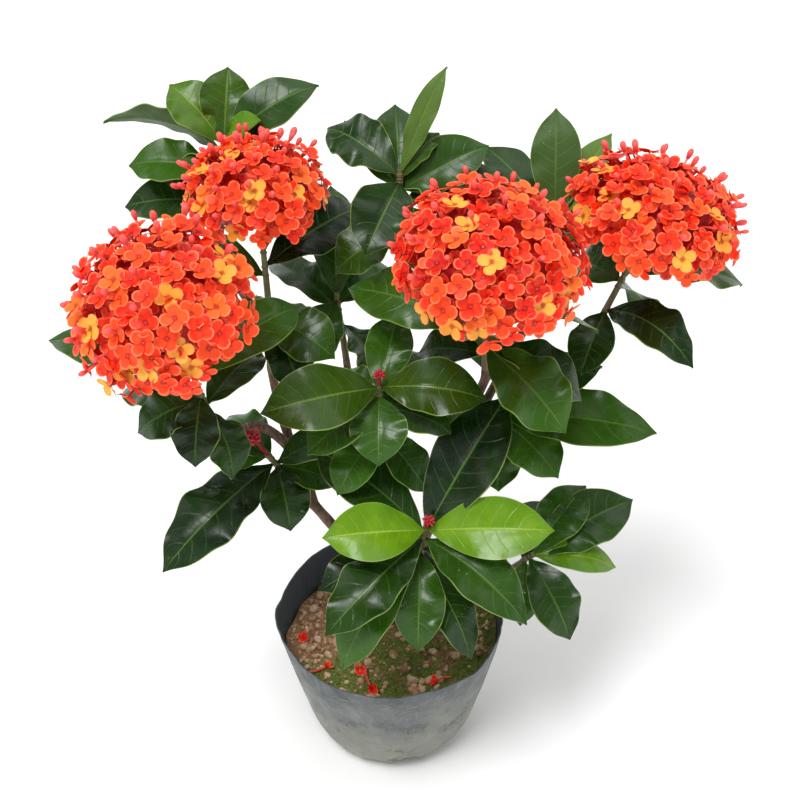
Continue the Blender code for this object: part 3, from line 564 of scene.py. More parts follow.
@dataclass(frozen=True)
class EarthFinish:
    """Tan gritty soil that turns to green moss towards the front."""

    dry: Colour = (0.80, 0.52, 0.30)
    between: Colour = (0.36, 0.22, 0.13)
    damp: Colour = (0.28, 0.15, 0.075)
    moss: Colour = (0.05, 0.085, 0.012)
    bright_moss: Colour = (0.19, 0.26, 0.045)

    def make(self) -> Material:
        """Build the node material.

        Returns:
            The material.
        """
        bench = NodeBench("earth")
        grain = bench.cloud(260.0, 7.0, 0.72)
        colour = bench.ramp(grain, ((0.34, self.damp), (0.5, self.between), (0.66, self.dry)))
        crumbs = bench.cells(330.0)
        colour = bench.mix(bench.span(crumbs, 0.25, 0.6), colour, self.damp)
        moss = bench.ramp(bench.cloud(520.0, 5.0, 0.7), ((0.35, self.moss), (0.68, self.bright_moss)))
        across, depth, _ = bench.coordinates()
        front = bench.plus(depth, bench.times(across, -0.55))
        ragged = bench.times(bench.minus(bench.cloud(70.0, 5.0, 0.65), 0.5), 0.12)
        patches = bench.times(bench.span(bench.cloud(62.0, 5.0, 0.65), 0.4, 0.5), 0.9)
        cover = bench.times(bench.span(bench.plus(front, ragged), 0.006, -0.016), patches)
        colour = bench.mix(cover, colour, moss)
        bench.relief(bench.plus(grain, bench.times(crumbs, 0.6)), 0.9, 0.0022)
        return bench.done(colour, 0.93, 0.2)


@dataclass(frozen=True)
class GritFinish:
    """Small stones, each of its own tan or brown."""

    brown: Colour = (0.28, 0.15, 0.075)
    tan: Colour = (0.56, 0.33, 0.18)
    sand: Colour = (0.68, 0.44, 0.27)
    pale: Colour = (0.76, 0.56, 0.38)
    speck: Colour = (0.12, 0.075, 0.045)

    def make(self) -> Material:
        """Build the node material.

        Returns:
            The material.
        """
        bench = NodeBench("grit")
        stops = ((0.0, self.brown), (0.35, self.tan), (0.7, self.sand), (1.0, self.pale))
        colour = bench.ramp(bench.mark()[2], stops)
        specks = bench.cloud(900.0, 4.0, 0.7)
        colour = bench.mix(bench.span(specks, 0.42, 0.62, 0.45, 0.0), colour, self.speck)
        bench.relief(specks, 0.6, 0.0006)
        return bench.done(colour, 0.88, 0.25)


@dataclass(frozen=True)
class MossFinish:
    """Fine moss sprigs, from deep to yellow green."""

    deep: Colour = (0.05, 0.10, 0.014)
    green: Colour = (0.15, 0.26, 0.035)
    yellow: Colour = (0.38, 0.45, 0.10)
    tip: Colour = (0.42, 0.48, 0.13)
    withered: Colour = (0.1, 0.1, 0.03)

    def make(self) -> Material:
        """Build the node material.

        Returns:
            The material.
        """
        bench = NodeBench("moss")
        rise, _, chance = bench.mark()
        colour = bench.ramp(chance, ((0.0, self.deep), (0.6, self.green), (1.0, self.yellow)))
        colour = bench.tint(colour, self.tip, rise, 0.5)
        colour = bench.mix(bench.span(bench.cloud(300.0, 3.0), 0.3, 0.7, 0.0, 0.4), colour, self.withered)
        return bench.done(colour, 0.85, 0.2)


@dataclass(frozen=True)
class BarkFinish:
    """Reddish-brown bark with pale pores and lengthwise cracks."""

    dark: Colour = (0.06, 0.03, 0.018)
    light: Colour = (0.24, 0.135, 0.08)
    grey: Colour = (0.26, 0.22, 0.17)
    pore: Colour = (0.42, 0.34, 0.25)

    def make(self) -> Material:
        """Build the node material.

        Returns:
            The material.
        """
        bench = NodeBench("bark")
        grain = bench.streaks((520.0, 520.0, 130.0), 6.0, 0.7)
        colour = bench.ramp(grain, ((0.32, self.dark), (0.66, self.light)))
        colour = bench.mix(bench.span(bench.cloud(60.0, 4.0), 0.45, 0.7, 0.0, 0.5), colour, self.grey)
        pores = bench.cells(420.0, (1.0, 1.0, 0.6))
        colour = bench.mix(bench.span(pores, 0.13, 0.05), colour, self.pore)
        bench.relief(grain, 0.8, 0.0012)
        return bench.done(colour, bench.span(grain, 0.3, 0.7, 0.85, 0.6), 0.35)


@dataclass(frozen=True)
class GreenStemFinish:
    """Skin of a green shoot that browns towards its foot."""

    dark: Colour = (0.06, 0.105, 0.025)
    light: Colour = (0.135, 0.19, 0.05)
    brown: Colour = (0.17, 0.095, 0.05)

    def make(self) -> Material:
        """Build the node material.

        Returns:
            The material.
        """
        bench = NodeBench("green_stem")
        grain = bench.streaks((500.0, 500.0, 150.0), 4.0, 0.6)
        colour = bench.ramp(grain, ((0.35, self.dark), (0.65, self.light)))
        colour = bench.mix(bench.mark()[0], self.brown, colour)
        bench.relief(grain, 0.4, 0.0006)
        return bench.done(colour, 0.5, 0.5)


@dataclass(frozen=True)
class LeafFinish:
    """Glossy dark leaf with pale midrib, side veins and a thin yellow-green edge, partly the paler margin and
    partly painted light shining through it; matt olive underneath.
    """

    deep: Colour = (0.0035, 0.017, 0.002)
    green: Colour = (0.033, 0.105, 0.005)
    lime: Colour = (0.155, 0.32, 0.004)
    lime_edge: Colour = (0.085, 0.22, 0.003)
    lime_patch: Colour = (0.08, 0.21, 0.003)
    lime_vein: Colour = (0.36, 0.54, 0.06)
    lime_under: Colour = (0.26, 0.46, 0.05)
    vein: Colour = (0.10, 0.21, 0.025)
    # Pale edge: partly the leaf's paler margin, partly painted light shining through the thin margin.
    edge: Colour = (0.30, 0.42, 0.09)
    under: Colour = (0.042, 0.10, 0.012)
    under_vein: Colour = (0.17, 0.26, 0.07)
    residue: Colour = (0.5, 0.55, 0.48)
    vein_pairs: float = 9.0

    def make(self) -> Material:
        """Build the node material.

        Returns:
            The material.
        """
        bench = NodeBench("leaf_skin")
        lime, under, chance = bench.mark()
        parts = bench.add("SeparateXYZ", {"Vector": bench.add("UVMap", uv_map="UVMap").outputs[0]})
        across = bench.minus(parts.outputs[1], 0.5)
        side = bench.times(bench.sum("ABSOLUTE", across), 2.0)
        tone = bench.plus(bench.times(chance, 0.65), bench.times(bench.cloud(34.0, 4.0), 0.5))
        colour = bench.ramp(tone, ((0.25, self.deep), (0.85, self.green)))
        fresh = bench.mix(bench.span(side, 0.1, 0.95, 0.0, 0.5), self.lime, self.lime_edge)
        patches = bench.span(bench.cloud(75.0, 4.0), 0.35, 0.65, 0.0, 0.5)
        colour = bench.mix(lime, colour, bench.mix(patches, fresh, self.lime_patch))
        veins = self.side_veins(bench, parts.outputs[0], across, side)
        line = bench.mix(lime, self.vein, self.lime_vein)
        colour = bench.tint(colour, line, veins, 0.2)
        below = bench.tint(self.under, self.lime_under, lime, 0.6)
        below = bench.tint(below, self.under_vein, veins, 0.3)
        colour = bench.mix(under, colour, below)
        rib = bench.span(side, 0.05, 0.022)
        colour = bench.tint(colour, line, rib, 0.6)
        # Pale edge line: partly the paler margin, partly painted light through the thin margin.
        colour = bench.tint(colour, self.edge, bench.span(side, 0.962, 0.99), 0.62)
        spots = bench.span(bench.cloud(640.0, 2.0, 0.5), 0.70, 0.76)
        where = bench.span(bench.cloud(38.0, 3.0), 0.5, 0.66)
        colour = bench.tint(colour, self.residue, bench.times(spots, where), 0.55)
        puff = bench.streaks((110.0, 110.0, 110.0), 2.0, 0.5)
        height = bench.minus(bench.times(puff, 0.35), bench.times(veins, 0.2))
        bench.relief(bench.minus(height, bench.times(rib, 0.3)), 0.6, 0.0010)
        gloss = bench.span(bench.cloud(90.0, 4.0), 0.3, 0.7, 0.2, 0.36)
        return bench.done(colour, bench.plus(gloss, bench.times(under, 0.28)), 0.32)

    def side_veins(self, bench: NodeBench, along: Socket, across: Socket, side: Socket) -> Socket:
        """Curved side veins from the midrib towards the edge.

        Args:
            bench: Bench of the material.
            along: Share of the leaf's length.
            across: Signed share across it.
            side: Distance from the midrib as a share.

        Returns:
            Value socket, 1 on a vein.
        """
        bend = bench.times(bench.sum("POWER", side, 1.4), 1.35)
        shift = bench.times(bench.sum("GREATER_THAN", across, 0.0), 0.42)
        count = bench.minus(bench.times(along, self.vein_pairs), bend)
        wave = bench.sum("PINGPONG", bench.plus(count, bench.plus(shift, 20.0)), 0.5)
        return bench.times(bench.span(wave, 0.06, 0.012), bench.span(side, 0.92, 0.6, 0.0, 1.0))


@dataclass(frozen=True)
class PetalFinish:
    """Petals from deep red through scarlet to apricot, with a paler rim and a dark throat; the rim is partly
    the petal's paler margin and partly painted light shining through the thin edge and painted highlight, and
    the throat is partly the deeper red of the petal bases and partly painted shade in the floret's opening.
    """

    stops: tuple[tuple[float, Colour], ...] = (
        (0.0, (0.60, 0.003, 0.003)), (0.25, (0.90, 0.010, 0.004)), (0.42, (1.0, 0.030, 0.006)),
        (0.6, (1.0, 0.085, 0.012)), (0.85, (1.0, 0.32, 0.025)), (1.0, (1.0, 0.52, 0.07)),
    )
    warm: Colour = (1.0, 0.22, 0.06)
    # Paler rim: partly the petal's own paler margin, partly painted light shining through the thin edge and
    # painted highlight.
    rim: Colour = (1.0, 0.30, 0.13)
    # Throat: partly the deeper red of the petal bases, partly painted shade in the floret's opening.
    throat: Colour = (0.42, 0.16, 0.2)

    def make(self) -> Material:
        """Build the node material.

        Returns:
            The material.
        """
        bench = NodeBench("petal")
        reach, hue, chance = bench.mark()
        colour = bench.ramp(hue, self.stops)
        blush = bench.span(bench.cloud(330.0, 3.0, 0.6), 0.35, 0.65, 0.0, 0.3)
        colour = bench.mix(blush, colour, bench.mix(0.5, colour, self.warm))
        # Rim: partly the paler margin, partly painted light through the thin edge and painted highlight.
        colour = bench.tint(colour, self.rim, bench.span(reach, 0.8, 1.0), 0.6)
        # Throat: partly deeper red, partly painted shade in the floret's opening.
        deeper = bench.mix(1.0, colour, self.throat, "MULTIPLY")
        colour = bench.tint(colour, deeper, bench.span(reach, 0.34, 0.08), 0.9)
        bench.relief(bench.cloud(700.0, 3.0, 0.6), 0.3, 0.0004)
        return bench.done(colour, bench.span(chance, 0.0, 1.0, 0.42, 0.56), 0.2)


@dataclass(frozen=True)
class BudFinish:
    """Waxy buds and tubes, coral or dark red."""

    name: str
    foot: Colour
    tip: Colour

    def make(self) -> Material:
        """Build the node material.

        Returns:
            The material.
        """
        bench = NodeBench(self.name)
        rise, _, chance = bench.mark()
        colour = bench.ramp(rise, ((0.15, self.foot), (0.8, self.tip)))
        lighter = tuple(min(1.0, part * 1.25 + 0.03) for part in self.tip)
        colour = bench.tint(colour, lighter, chance, 0.5)
        grain = bench.cloud(800.0, 2.0)
        colour = bench.mix(bench.span(grain, 0.3, 0.6, 0.25, 0.0), colour, self.foot)
        bench.relief(grain, 0.25, 0.0003)
        return bench.done(colour, 0.38, 0.5)


@dataclass(frozen=True)
class FloorFinish:
    """Plain pale studio floor."""

    colour: Colour = (0.93, 0.93, 0.93)

    def make(self) -> Material:
        """Build the node material.

        Returns:
            The material.
        """
        bench = NodeBench("studio_floor")
        darker = tuple(0.985 * part for part in self.colour)
        return bench.done(bench.mix(bench.cloud(3.0, 2.0), self.colour, darker), 0.9, 0.1)


class Palette:
    """Every finish, made once."""

    def __init__(self) -> None:
        """Make the materials."""
        self.film = FilmFinish().make()
        self.earth = EarthFinish().make()
        self.grit = GritFinish().make()
        self.moss = MossFinish().make()
        self.bark = BarkFinish().make()
        self.stem = GreenStemFinish().make()
        self.leaf = LeafFinish().make()
        self.petal = PetalFinish().make()
        self.bud = BudFinish("coral_bud", (0.62, 0.025, 0.03), (0.93, 0.095, 0.075)).make()
        self.young_bud = BudFinish("young_bud", (0.2, 0.008, 0.015), (0.42, 0.012, 0.02)).make()
        # Deep red core: partly the red of the head's inner tubes, partly painted shade in the gaps between
        # florets.
        self.core = BudFinish("head_core", (0.5, 0.005, 0.005), (0.72, 0.010, 0.008)).make()
        self.floor = FloorFinish().make()


class Workpiece:
    """Mesh under construction, in millimetres, with a UV map and the mark attribute on its corners."""

    SHARP_ANGLE = 62.0

    def __init__(self) -> None:
        """Start an empty mesh with its layers."""
        self.bm = bmesh.new()
        self.uv = self.bm.loops.layers.uv.new("UVMap")
        self.shade = self.bm.loops.layers.float_color.new(MARK)

    def paint(self, faces: Iterable[Face], mark: Callable[[Vert], Colour]) -> None:
        """Set the mark on the corners of some faces.

        Args:
            faces: Faces to mark.
            mark: Gives the three shares for a vertex.
        """
        for face in faces:
            for loop in face.loops:
                loop[self.shade] = (*mark(loop.vert), 1.0)

    def tube(
        self, path: Sequence[Vector], radii: Sequence[float], sides: int,
        mark: Colour = (0.0, 0.0, 0.0), slot: int = 0,
    ) -> None:
        """Add a closed round tube.

        Args:
            path: Points along its middle.
            radii: Radius at each point.
            sides: Sides of its section.
            mark: First mark at the end of the tube, then the other two.
            slot: Material number.
        """
        last = len(path) - 1
        grid = bmesh.ops.create_grid(self.bm, x_segments=last, y_segments=sides, size=0.5)["verts"]
        faces = {face for vert in grid for face in vert.link_faces}
        tangents = [
            (path[min(index + 1, last)] - path[max(index - 1, 0)]).normalized() for index in range(last + 1)
        ]
        side = tangents[0].orthogonal().normalized()
        rings = []
        for point, tangent, radius in zip(path, tangents, radii):
            side = (side - tangent * side.dot(tangent)).normalized()
            rings.append((point, side.copy(), tangent.cross(side), radius))
        rise = {}
        for vert in grid:
            index = round((vert.co.x + 0.5) * last)
            turn = math.tau * (vert.co.y + 0.5)
            point, first, second, radius = rings[index]
            rise[vert] = index / last
            vert.co = point + radius * (math.cos(turn) * first + math.sin(turn) * second)
        self.paint(faces, lambda vert: (mark[0] * rise[vert], mark[1], mark[2]))
        bmesh.ops.remove_doubles(self.bm, verts=grid, dist=0.0005)
        faces = [face for face in faces if face.is_valid]
        rims = [edge for edge in {edge for face in faces for edge in face.edges} if edge.is_boundary]
        caps = bmesh.ops.holes_fill(self.bm, edges=rims, sides=0)["faces"]
        for face in (*faces, *caps):
            face.material_index = slot

    def turned(
        self, profile: Sequence[tuple[float, float]], sides: int, place: Matrix, chance: float, slot: int = 0,
    ) -> None:
        """Add a closed shape turned about an axis.

        Args:
            profile: Radius and height of each ring, with both ends on the axis.
            sides: Sides of the shape.
            place: Where its axis stands.
            chance: Third mark.
            slot: Material number.
        """
        row = [self.bm.verts.new((radius, 0.0, height)) for radius, height in profile]
        edges = [self.bm.edges.new(pair) for pair in zip(row, row[1:])]
        spun = bmesh.ops.spin(
            self.bm, geom=row + edges, cent=(0.0, 0.0, 0.0), axis=Z_AXIS, angle=math.tau, steps=sides,
            use_merge=True,
        )
        verts = {item for item in spun["geom_last"] if isinstance(item, Vert)} | set(row)
        verts = self.island(verts)
        bmesh.ops.remove_doubles(self.bm, verts=list(verts), dist=0.001)
        verts = [vert for vert in verts if vert.is_valid]
        tall = max(height for _, height in profile)
        faces = {face for vert in verts for face in vert.link_faces}
        self.paint(faces, lambda vert: (vert.co.z / tall, 0.0, chance))
        for face in faces:
            face.material_index = slot
        bmesh.ops.transform(self.bm, matrix=place, verts=verts)

    @staticmethod
    def island(seeds: Iterable[Vert]) -> set[Vert]:
        """Every vertex joined to some vertices.

        Args:
            seeds: Where the search starts.

        Returns:
            The whole island.
        """
        found = set(seeds)
        open_verts = list(found)
        while open_verts:
            for edge in open_verts.pop().link_edges:
                for vert in edge.verts:
                    if vert not in found:
                        found.add(vert)
                        open_verts.append(vert)
        return found

    def mesh(self, name: str) -> Mesh:
        """Close the work as a mesh in millimetres.

        Args:
            name: Name of the mesh.

        Returns:
            The mesh.
        """
        bmesh.ops.recalc_face_normals(self.bm, faces=self.bm.faces)
        mesh = bpy.data.meshes.new(name)
        self.bm.to_mesh(mesh)
        self.bm.free()
        return mesh

    def place(
        self, pattern: Mesh, matrix: Matrix, second: float | None = None, third: float | None = None,
    ) -> None:
        """Add one copy of a pattern.

        Args:
            pattern: Mesh in millimetres.
            matrix: Where the copy goes.
            second: Second mark, or None to keep it.
            third: Third mark, or None to keep it.
        """
        copy = pattern.copy()
        copy.transform(matrix)
        marks = np.empty(len(copy.loops) * 4, np.float32)
        copy.attributes[MARK].data.foreach_get("color", marks)
        if second is not None:
            marks[1::4] = second
        if third is not None:
            marks[2::4] = third
        copy.attributes[MARK].data.foreach_set("color", marks)
        self.bm.from_mesh(copy)
        bpy.data.meshes.remove(copy)

    def piece(
        self, name: str, materials: Sequence[Material], slot: Slot, replaces: Sequence[str] = (),
    ) -> bpy.types.Object:
        """Finish the work as a piece in metres that rides on the plant.

        Args:
            name: Name of the piece.
            materials: Its materials, by number.
            slot: Slot of the record; not used.
            replaces: Nodes that it stands for.

        Returns:
            The object.
        """
        mesh = self.mesh(name)
        mesh.transform(Matrix.Scale(MM, 4))
        mesh.shade_smooth()
        mesh.set_sharp_from_angle(angle=math.radians(self.SHARP_ANGLE))
        for material in materials:
            mesh.materials.append(material)
        obj = bpy.data.objects.new(name, mesh)
        bpy.context.scene.collection.objects.link(obj)
        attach(obj, "root")
        if replaces:
            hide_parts(*replaces)
        LOG.info("%s: %d faces", name, len(mesh.polygons))
        return obj


@dataclass
class Studio:
    """Wide pale floor that rises like a dish, soft lights, and the camera at the photograph's angle.

    The floor's sizes and the near clip are in metres.
    """

    target: Point = (6.0, 0.0, 294.0)
    distance: float = 800.0
    elevation: float = 35.9
    focal_pixels: float = 1261.0
    image_side: float = 800.0
    sensor: float = 36.0
    near_clip: float = 0.05
    floor_half: float = 6.0
    floor_cells: int = 80
    flat_radius: float = 1.4
    dish_slope: float = 0.22
    world_strength: float = 0.4

    def eye(self) -> Vector:
        """Place of the camera, in millimetres."""
        lift = math.radians(self.elevation)
        return Vector(self.target) + self.distance * Vector((0.0, -math.cos(lift), math.sin(lift)))

    def pixel(self, point: Vector) -> tuple[float, float]:
        """Where a point shows in the picture.

        Args:
            point: Point in millimetres.

        Returns:
            Its column and row.
        """
        lift = math.radians(self.elevation)
        away = point - self.eye()
        depth = away.dot(Vector((0.0, math.cos(lift), -math.sin(lift))))
        rise = away.dot(Vector((0.0, math.sin(lift), math.cos(lift))))
        middle = 0.5 * self.image_side
        return middle + self.focal_pixels * away.x / depth, middle - self.focal_pixels * rise / depth

    def build(self, floor_material: Material) -> None:
        """Set up floor, light and camera.

        Args:
            floor_material: Finish of the floor.
        """
        self.lay_floor(floor_material)
        self.set_camera()
        self.sky_light("key_light", (-0.3, -0.34, 1.0), 2.2, 26.0)
        self.sky_light("top_light", (0.2, 0.3, 1.0), 0.95, 60.0)
        world = bpy.data.worlds.new("studio_world")
        world.use_nodes = True
        background = world.node_tree.nodes["Background"]
        background.inputs["Color"].default_value = (1.0, 1.0, 1.0, 1.0)
        background.inputs["Strength"].default_value = self.world_strength
        bpy.context.scene.world = world
        bpy.context.scene.view_settings.view_transform = "Standard"

    def lay_floor(self, material: Material) -> None:
        """Lay the floor.

        Args:
            material: Its finish.
        """
        bm = bmesh.new()
        cells = self.floor_cells
        bmesh.ops.create_grid(bm, x_segments=cells, y_segments=cells, size=self.floor_half)
        for vert in bm.verts:
            vert.co.z = self.dish_slope * max(0.0, vert.co.xy.length - self.flat_radius) ** 1.5
        mesh = bpy.data.meshes.new("studio_floor")
        bm.to_mesh(mesh)
        bm.free()
        mesh.materials.append(material)
        floor = bpy.data.objects.new("studio_floor", mesh)
        bpy.context.scene.collection.objects.link(floor)

    def set_camera(self) -> None:
        """Set the camera where the photograph was taken from."""
        camera = bpy.data.objects.new("camera", bpy.data.cameras.new("camera"))
        camera.data.lens = self.sensor * self.focal_pixels / self.image_side
        camera.data.sensor_width = self.sensor
        camera.data.clip_start = self.near_clip
        camera.location = self.eye() * MM
        camera.rotation_euler = (math.radians(90.0 - self.elevation), 0.0, 0.0)
        bpy.context.scene.collection.objects.link(camera)
        bpy.context.scene.camera = camera

    @staticmethod
    def sky_light(name: str, way: Point, strength: float, spread: float) -> None:
        """Shine one broad soft light that is even over the whole floor.

        Args:
            name: Name of the light.
            way: Direction that it comes from.
            strength: Its strength.
            spread: Width of its disc in degrees.
        """
        light = bpy.data.lights.new(name, "SUN")
        light.energy = strength
        light.angle = math.radians(spread)
        obj = bpy.data.objects.new(name, light)
        obj.location = way
        obj.rotation_euler = (-Vector(way)).to_track_quat("-Z", "Y").to_euler()
        bpy.context.scene.collection.objects.link(obj)


@dataclass
class GrowBag:
    """Soft film bag with puckers, a corner fold and an uneven mouth."""

    height: float = 104.0
    foot_radius: float = 57.0
    mouth_radius: float = 80.0
    foot_tuck: float = 9.0
    tuck_height: float = 8.0
    film: float = 1.2
    rim_round: float = 0.25
    sides: int = 180
    corner_angle: float = 180.0
    corner_width: float = 11.0
    corner_depth: float = 3.2
    high_angle: float = 132.0
    high_width: float = 42.0
    high_lift: float = 9.0
    foot_rings: tuple[float, ...] = (16.0, 34.0)
    lining_from: float = 60.0
    lowest_lining: float = 40.0
    levels: tuple[float, ...] = (
        1.0, 2.5, 5.0, 8.0, 12.0, 17.0, 23.0, 29.0, 35.0, 41.0, 47.0, 53.0, 59.0, 65.0, 71.0, 77.0, 83.0,
        88.0, 93.0, 97.0, 100.5, 102.8,
    )

    def wall_radius(self, height: float) -> float:
        """Outer radius of the plain bag.

        Args:
            height: Height on the bag.

        Returns:
            The radius there.
        """
        rise = max(height, 0.0)
        flare = (self.mouth_radius - self.foot_radius) * (rise / self.height) ** 0.92
        return self.foot_radius + flare - self.foot_tuck * math.exp(-rise / self.tuck_height)

    def soften(self, point: Vector, wrinkles: float = 0.0) -> Vector:
        """Move a point of the plain bag to the soft bag.

        Args:
            point: Point of the plain bag.
            wrinkles: Share of the fine puckers.

        Returns:
            The point on the soft bag.
        """
        radius = math.hypot(point.x, point.y)
        if radius < 1.0:
            return point.copy()
        angle = math.degrees(math.atan2(point.y, point.x))
        rise = min(max(point.z / self.height, 0.0), 1.1)
        turn = math.radians(angle)
        dents = 1.1 * math.sin(2.0 * turn + 0.5) + 0.8 * math.sin(5.0 * turn + 2.0 + 2.5 * rise)
        dents += 0.5 * math.sin(9.0 * turn - 4.0 * rise)
        fold = self.corner_depth * math.exp(-(angle_gap(angle, self.corner_angle) / self.corner_width) ** 2)
        share = radius / self.wall_radius(point.z)
        radius += share * rise * (dents + fold * rise)
        radius += wrinkles * share ** 4 * self.pucker(turn, point.z)
        lift = self.high_lift * math.exp(-(angle_gap(angle, self.high_angle) / self.high_width) ** 2)
        lift += 1.1 * math.sin(3.0 * turn + 1.0) + 0.6 * math.sin(8.0 * turn)
        lift += wrinkles * 0.7 * noise.noise(Vector((5.0 * math.cos(turn), 5.0 * math.sin(turn), 1.0)))
        lift *= rise ** 6
        x, y = polar(radius, angle)
        return Vector((x, y, point.z + lift * min(share, 1.0) ** 4))

    def pucker(self, turn: float, height: float) -> float:
        """Fine creases of the film.

        Args:
            turn: Angle about the bag, in radians.
            height: Height on the bag.

        Returns:
            How far the film stands out.
        """
        x, y = math.cos(turn), math.sin(turn)
        crease = noise.noise(Vector((11.0 * x, 11.0 * y, 0.012 * height)))
        crease += 0.8 * noise.noise(Vector((4.0 * x + 0.02 * height, 4.0 * y, 0.035 * height + 9.0)))
        foot = math.exp(-((height - 7.0) / 9.0) ** 2) * noise.noise(Vector((16.0 * x, 16.0 * y, 3.0)))
        return 0.75 * crease + 1.1 * foot

    def build(self, palette: Palette) -> None:
        """Build and dress the bag.

        Args:
            palette: The finishes.
        """
        work = Workpiece()
        rim = self.wall_radius(self.height)
        edge = self.height - self.rim_round
        outer = [(radius, 0.0) for radius in (0.0, *self.foot_rings, self.wall_radius(0.0))]
        outer += [(self.wall_radius(level), level) for level in self.levels]
        outer += [(rim - 0.1, edge), (rim - 0.5 * self.film, self.height)]
        inner = [(rim - self.film + 0.1, edge)]
        lining = [level for level in reversed(self.levels) if level > self.lining_from]
        lining += [self.lowest_lining]
        inner += [(self.wall_radius(level) - self.film, level) for level in lining]
        inner += [(self.wall_radius(self.film) - 2.0 * self.film, self.film)]
        inner += [(radius, self.film) for radius in (*reversed(self.foot_rings), 0.0)]
        work.turned(outer + inner, self.sides, UNMOVED, 0.0)
        # The first mark is 1 on the inner face, which the film paints darker as painted shade.
        work.paint(work.bm.faces, lambda vert: (self.is_inside(vert.co), 0.0, 0.0))
        for vert in work.bm.verts:
            vert.co = self.soften(vert.co, 1.0)
        work.piece("grow_bag_film", [palette.film], Slot.BAG, ["grow_bag"])

    def is_inside(self, point: Vector) -> float:
        """1 for a point on the inner face of the plain bag, otherwise 0."""
        middle = self.wall_radius(point.z) - 0.5 * self.film
        return 1.0 if math.hypot(point.x, point.y) < middle - 0.05 else 0.0


@dataclass
class SoilBed:
    """Gritty, mossy soil with small stones and moss sprigs."""

    bag: GrowBag
    level: float = 88.0
    side_gap: float = 0.7
    floor_gap: float = 0.3
    slope: float = 7.0
    relief: float = 2.2
    lumps: float = 1.25
    sides: int = 108
    rings: int = 33
    wall_levels: tuple[float, ...] = (12.0, 30.0, 50.0, 66.0, 74.0)
    stones: int = 1100
    stone_shapes: int = 4
    stone_reach: float = 0.97
    stone_seed: int = 11
    sprigs: int = 4800
    sprig_reach: float = 0.98
    sprig_seed: int = 23

    def height(self, x: float, y: float) -> float:
        """Height of the soil at a place.

        Args:
            x: Place across.
            y: Place in depth.

        Returns:
            The height.
        """
        slope = self.slope * (x - y) * math.sqrt(0.5) / self.bag.mouth_radius
        crumbs = noise.noise(Vector((0.055 * x, 0.055 * y, 3.0)))
        crumbs += 0.5 * noise.noise(Vector((0.13 * x, 0.13 * y, 7.0)))
        return self.level + slope + self.relief * crumbs

    def crumb(self, x: float, y: float) -> float:
        """Fine lumps on top of the plain soil at a place."""
        small = noise.noise(Vector((0.4 * x, 0.4 * y, 1.0)))
        return self.lumps * (small + 0.6 * noise.noise(Vector((0.9 * x, 0.9 * y, 5.0))))

    def mossy(self, x: float, y: float) -> bool:
        """Whether moss covers a place."""
        patch = noise.noise(Vector((0.09 * x, 0.09 * y, 8.0))) > -0.02
        return patch and y - 0.55 * x < 2.0 + 14.0 * noise.noise(Vector((0.05 * x, 0.05 * y, 4.0)))

    def build(self, palette: Palette) -> None:
        """Build and dress the soil.

        Args:
            palette: The finishes.
        """
        film = self.bag.film
        inset = film + self.side_gap
        floor = film + self.floor_gap
        rim = self.bag.wall_radius(self.level) - inset
        profile = [(0.0, floor), (self.bag.wall_radius(film) - 2.0 * film - 1.0, floor)]
        profile += [(self.bag.wall_radius(level) - inset, level) for level in self.wall_levels]
        profile += [(rim * (1.0 - 0.03 * ring), self.level) for ring in range(self.rings)]
        profile += [(0.0, self.level)]
        work = Workpiece()
        work.turned(profile, self.sides, UNMOVED, 0.0)
        for vert in work.bm.verts:
            if vert.co.z > self.level - 0.5:
                share = math.hypot(vert.co.x, vert.co.y) / rim
                height = self.height(vert.co.x, vert.co.y)
                angle = math.degrees(math.atan2(vert.co.y, vert.co.x))
                x, y = polar((self.bag.wall_radius(height) - inset) * share, angle)
                vert.co = Vector((x, y, height + self.crumb(x, y) * (1.0 - share ** 12)))
            vert.co = self.bag.soften(vert.co)
        work.piece("soil_bed", [palette.earth], Slot.SOIL, ["soil"])
        self.build_stones(palette)
        self.build_moss(palette)

    def spots(self, count: int, reach: float, rng: random.Random) -> list[Vector]:
        """Even random places on the soil.

        Args:
            count: How many.
            reach: Share of the radius that they keep within.
            rng: Source of chance.

        Returns:
            Points on the surface.
        """
        places = []
        edge = self.bag.wall_radius(self.level) - self.bag.film - 2.0
        for _ in range(count):
            x, y = polar(edge * reach * math.sqrt(rng.random()), rng.uniform(0.0, 360.0))
            places.append(self.bag.soften(Vector((x, y, self.height(x, y) + self.crumb(x, y)))))
        return places

    def build_stones(self, palette: Palette) -> None:
        """Scatter small stones, most of them at the back left.

        Args:
            palette: The finishes.
        """
        rng = random.Random(self.stone_seed)
        patterns = []
        for seed in range(self.stone_shapes):
            pattern = Workpiece()
            bmesh.ops.create_icosphere(pattern.bm, subdivisions=1, radius=1.0)
            for vert in pattern.bm.verts:
                vert.co *= 1.0 + 0.35 * noise.noise(vert.co * 1.7 + Vector((7.0 * seed, 0.0, 0.0)))
            pattern.paint(pattern.bm.faces, lambda vert: (0.0, 0.0, 0.5))
            patterns.append(pattern.mesh("stone"))
        work = Workpiece()
        for spot in self.spots(self.stones, self.stone_reach, rng):
            if self.mossy(spot.x, spot.y) and rng.random() < 0.8:
                continue
            size = rng.uniform(1.0, 2.8) + (2.0 if rng.random() < 0.22 else 0.0)
            size *= 0.55 if self.mossy(spot.x, spot.y) else 1.0
            turn = Matrix.Rotation(rng.uniform(0.0, math.tau), 4, Vector((rng.random(), rng.random(), 1.0)))
            scale = Matrix.Diagonal((size, size * rng.uniform(0.6, 1.0), size * rng.uniform(0.45, 0.8), 1.0))
            matrix = Matrix.Translation(spot + 0.15 * size * Z_AXIS) @ turn @ scale
            work.place(rng.choice(patterns), matrix, None, rng.random() ** 0.8)
        work.piece("soil_stones", [palette.grit], Slot.SOIL)

